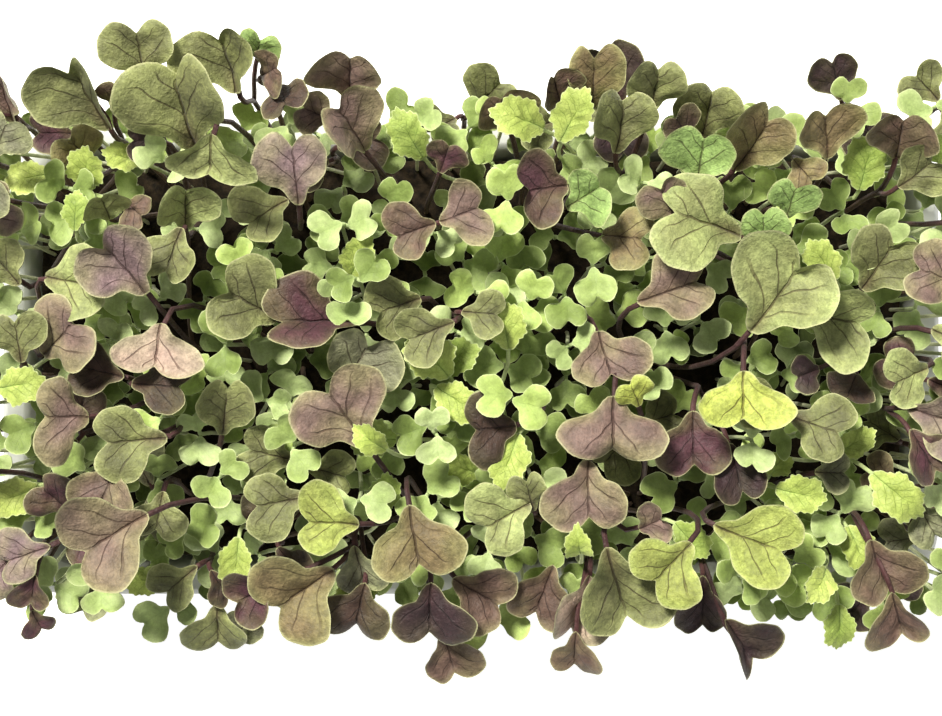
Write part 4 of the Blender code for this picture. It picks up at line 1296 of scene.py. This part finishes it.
def fine_tray(material):
    length, width = TRAY_LENGTH - 2 * FLOOR_INSET, TRAY_WIDTH - 2 * FLOOR_INSET
    bm = rounded_floor(length, width, 0)
    draw_up(bm, length, width, WALL_STEPS)
    bm.normal_update()
    underside = max(bm.faces, key=lambda face: face.calc_area())
    bmesh.ops.recalc_face_normals(bm, faces=bm.faces)
    if underside.normal.z > 0:
        bmesh.ops.reverse_faces(bm, faces=bm.faces)
    mesh = bpy.data.meshes.new("tray_moulded")
    bm.to_mesh(mesh)
    bm.free()
    mesh.shade_smooth()
    mesh.materials.append(material)
    piece = bpy.data.objects.new("tray_moulded", mesh)
    bpy.context.scene.collection.objects.link(piece)
    wall = piece.modifiers.new("Wall", "SOLIDIFY")
    wall.thickness = TRAY_WALL
    wall.offset = -1
    wall.use_even_offset = True
    drilled(piece)
    edge = piece.modifiers.new("Rounded edges", "BEVEL")
    edge.width = RIM_ROUND
    edge.segments = 2
    edge.limit_method = "ANGLE"
    edge.angle_limit = math.radians(40)
    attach(piece, "root")
    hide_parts(TRAY_NAME)


def corner_pulled(x, y, half_x, half_y, radius):
    """A point of a rectangle, moved so that the rectangle's corners come out round."""
    over_x, over_y = abs(x) - (half_x - radius), abs(y) - (half_y - radius)
    if over_x <= 0 or over_y <= 0:
        return x, y
    round_x = over_x * math.sqrt(1 - (over_y / radius) ** 2 / 2)
    round_y = over_y * math.sqrt(1 - (over_x / radius) ** 2 / 2)
    return (
        math.copysign(half_x - radius + round_x, x),
        math.copysign(half_y - radius + round_y, y),
    )


# The medium's lumpy top, then its loose crumbs, whose sizes, reach and levels are in millimetres
TOP_HALF_X, TOP_HALF_Y = 117.4 * MM, 53.9 * MM
TOP_CORNER = 18 * MM
TOP_STEPS = (150, 70)
TOP_THICKNESS = 6 * MM
LUMP_HEIGHT = 0.9 * MM
LUMP_DROP = 0.5 * MM
LUMP_SCALE = 160
CRUMB_SEED = 77
CRUMB_COUNT = 1500
CRUMB_SIZE = (0.5, 1.9)
CRUMB_REACH_X, CRUMB_REACH_Y = 112, 49
CRUMB_LEVEL = (-0.4, 0.7)
CRUMB_ROUGH = 0.22


def fine_medium(material):
    """Moist crumbly medium: a lumpy block with loose crumbs on it."""
    bm = bmesh.new()
    verts = bmesh.ops.create_grid(
        bm, x_segments=TOP_STEPS[0], y_segments=TOP_STEPS[1], size=1
    )["verts"]
    for vert in verts:
        x, y = corner_pulled(
            vert.co.x * TOP_HALF_X, vert.co.y * TOP_HALF_Y, TOP_HALF_X, TOP_HALF_Y, TOP_CORNER
        )
        lump = noise.fractal(Vector((x, y, 0)) * LUMP_SCALE, 0.9, 2.1, 4)
        vert.co = Vector((x, y, MEDIUM_TOP - LUMP_DROP + LUMP_HEIGHT * lump))
    bmesh.ops.solidify(bm, geom=bm.faces[:], thickness=-TOP_THICKNESS)
    rng = random.Random(CRUMB_SEED)
    for _ in range(CRUMB_COUNT):
        before = len(bm.verts)
        size = between(rng, CRUMB_SIZE) * MM
        x = rng.uniform(-CRUMB_REACH_X, CRUMB_REACH_X) * MM
        y = rng.uniform(-CRUMB_REACH_Y, CRUMB_REACH_Y) * MM
        spot = Vector((x, y, MEDIUM_TOP + between(rng, CRUMB_LEVEL) * MM))
        turn = Matrix.Rotation(rng.uniform(0, math.tau), 4, "Z") @ Matrix.Diagonal(
            (size * rng.uniform(0.7, 1.5), size, size * rng.uniform(0.5, 0.9), 1)
        )
        bmesh.ops.create_icosphere(
            bm, subdivisions=1, radius=1, matrix=Matrix.Translation(spot) @ turn
        )
        for vert in verts_after(bm, before):
            vert.co += Vector([rng.uniform(-CRUMB_ROUGH, CRUMB_ROUGH) * size for _ in range(3)])
    mesh = bpy.data.meshes.new("medium_crumbs")
    bmesh.ops.recalc_face_normals(bm, faces=bm.faces)
    bm.to_mesh(mesh)
    bm.free()
    mesh.materials.append(material)
    piece = bpy.data.objects.new("medium_crumbs", mesh)
    bpy.context.scene.collection.objects.link(piece)
    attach(piece, "root")
    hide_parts(MEDIUM_NAME)


# Floor, light and camera


LAMP_TINT = (1, 0.965, 0.87)
FLOOR_HALF = 4
FLOOR_TONE = (0.95, 0.95, 0.95, 1)
FLOOR_GLOW = 0.7
SKY_STRENGTH = 0.235


def area_light(name, place, size, power):
    light = bpy.data.lights.new(name, "AREA")
    light.color = LAMP_TINT
    light.size = size
    light.energy = power
    made = bpy.data.objects.new(name, light)
    made.location = place
    made.rotation_euler = (-Vector(place)).to_track_quat("-Z", "Y").to_euler()
    bpy.context.scene.collection.objects.link(made)


def make_studio():
    bm = bmesh.new()
    bmesh.ops.create_grid(bm, x_segments=1, y_segments=1, size=FLOOR_HALF)
    mesh = bpy.data.meshes.new("floor")
    bm.to_mesh(mesh)
    bm.free()
    white = bpy.data.materials.new("floor_white")
    white.use_nodes = True
    shader = white.node_tree.nodes["Principled BSDF"]
    shader.inputs["Base Color"].default_value = FLOOR_TONE
    shader.inputs["Roughness"].default_value = 0.9
    shader.inputs["Emission Color"].default_value = (1, 1, 1, 1)
    shader.inputs["Emission Strength"].default_value = FLOOR_GLOW
    mesh.materials.append(white)
    floor = bpy.data.objects.new("floor", mesh)
    bpy.context.scene.collection.objects.link(floor)

    world = bpy.data.worlds.new("studio")
    world.use_nodes = True
    world.node_tree.nodes["Background"].inputs["Color"].default_value = (1, 1, 1, 1)
    world.node_tree.nodes["Background"].inputs["Strength"].default_value = SKY_STRENGTH
    bpy.context.scene.world = world
    area_light("key", (-0.5, 0.75, 1.25), 0.3, 39.5)
    area_light("fill", (0.8, -0.4, 1.0), 0.9, 2.5)

    height = 0.42
    camera = bpy.data.cameras.new("camera")
    camera.sensor_width = 36
    camera.lens = 36 * height / (942 * PHOTO_SCALE)
    view = bpy.data.objects.new("camera", camera)
    view.location = (0, 0, MEDIUM_TOP + 65 * MM + height)
    bpy.context.scene.collection.objects.link(view)
    bpy.context.scene.camera = view
    bpy.context.scene.view_settings.view_transform = "Standard"
    bpy.context.scene.view_settings.look = "None"


def main():
    veins = vein_group()
    # The pale tint and its share after the vein settings are the painted edge highlight.
    radish_green = greens_material(
        "radish_plant", veins, (0.26, 0.17, 0.16), 0.7, linear((196, 196, 148)), 0.6, 1.0, 0.0007
    )
    brassica_green = greens_material(
        "brassica_plant", veins, (0.34, 0.46, 0.2), 0.16, linear((216, 228, 172)), 0.6, 0.5, 0.0003
    )
    radish_crowns = crown_lattice(RADISH_COLUMNS, RADISH_ROWS)
    brassica_crowns = crown_lattice(BRASSICA_COLUMNS, BRASSICA_ROWS)
    grown, rows = grow_all(radish_crowns, brassica_crowns)

    rng = random.Random(31)
    looks = {}
    for index, plant in zip(rows, grown):
        looks[id(plant)] = looks_of(index, plant.seedling, rng)
    framed = list(grown)
    for kind, crowns, material, slot in (
        ("radish", radish_crowns, radish_green, "radish_plants"),
        ("brassica", brassica_crowns, brassica_green, "brassica_plants"),
    ):
        planted = [crown for crown in crowns if any(plant.crown is crown for plant in framed)]
        for number, crown in enumerate(planted, start=1):
            bm = new_greens()
            for plant in framed:
                if plant.crown is crown:
                    grow_fine(bm, plant.seedling, looks[id(plant)], kind == "radish", rng)
            name = f"{kind}_clump_{number:02d}"
            finish_greens(bm, name + "_fine", material, name)

    batches = {}
    for seedling in extra_seedlings(grown):
        kind = "radish" if seedling.blades[0].leaf is RADISH else "brassica"
        column = int((seedling.root.x + TRAY_LENGTH / 2) // (TRAY_LENGTH / 4))
        if (kind, column) not in batches:
            batches[kind, column] = new_greens()
        grow_fine(batches[kind, column], seedling, looks_of(None, seedling, rng), False, rng)
    for (kind, column), bm in sorted(batches.items()):
        material = radish_green if kind == "radish" else brassica_green
        finish_greens(bm, f"low_{kind}_{column + 1}", material)

    fine_tray(noisy_material("tray_white", (194, 197, 194), (204, 206, 203), 60, 0.42, 0.0001, 0.5))
    fine_medium(
        noisy_material("peat", (15, 12, 8), (46, 37, 26), 420, 0.9, 0.0009, 0.15)
    )
    make_studio()


main()
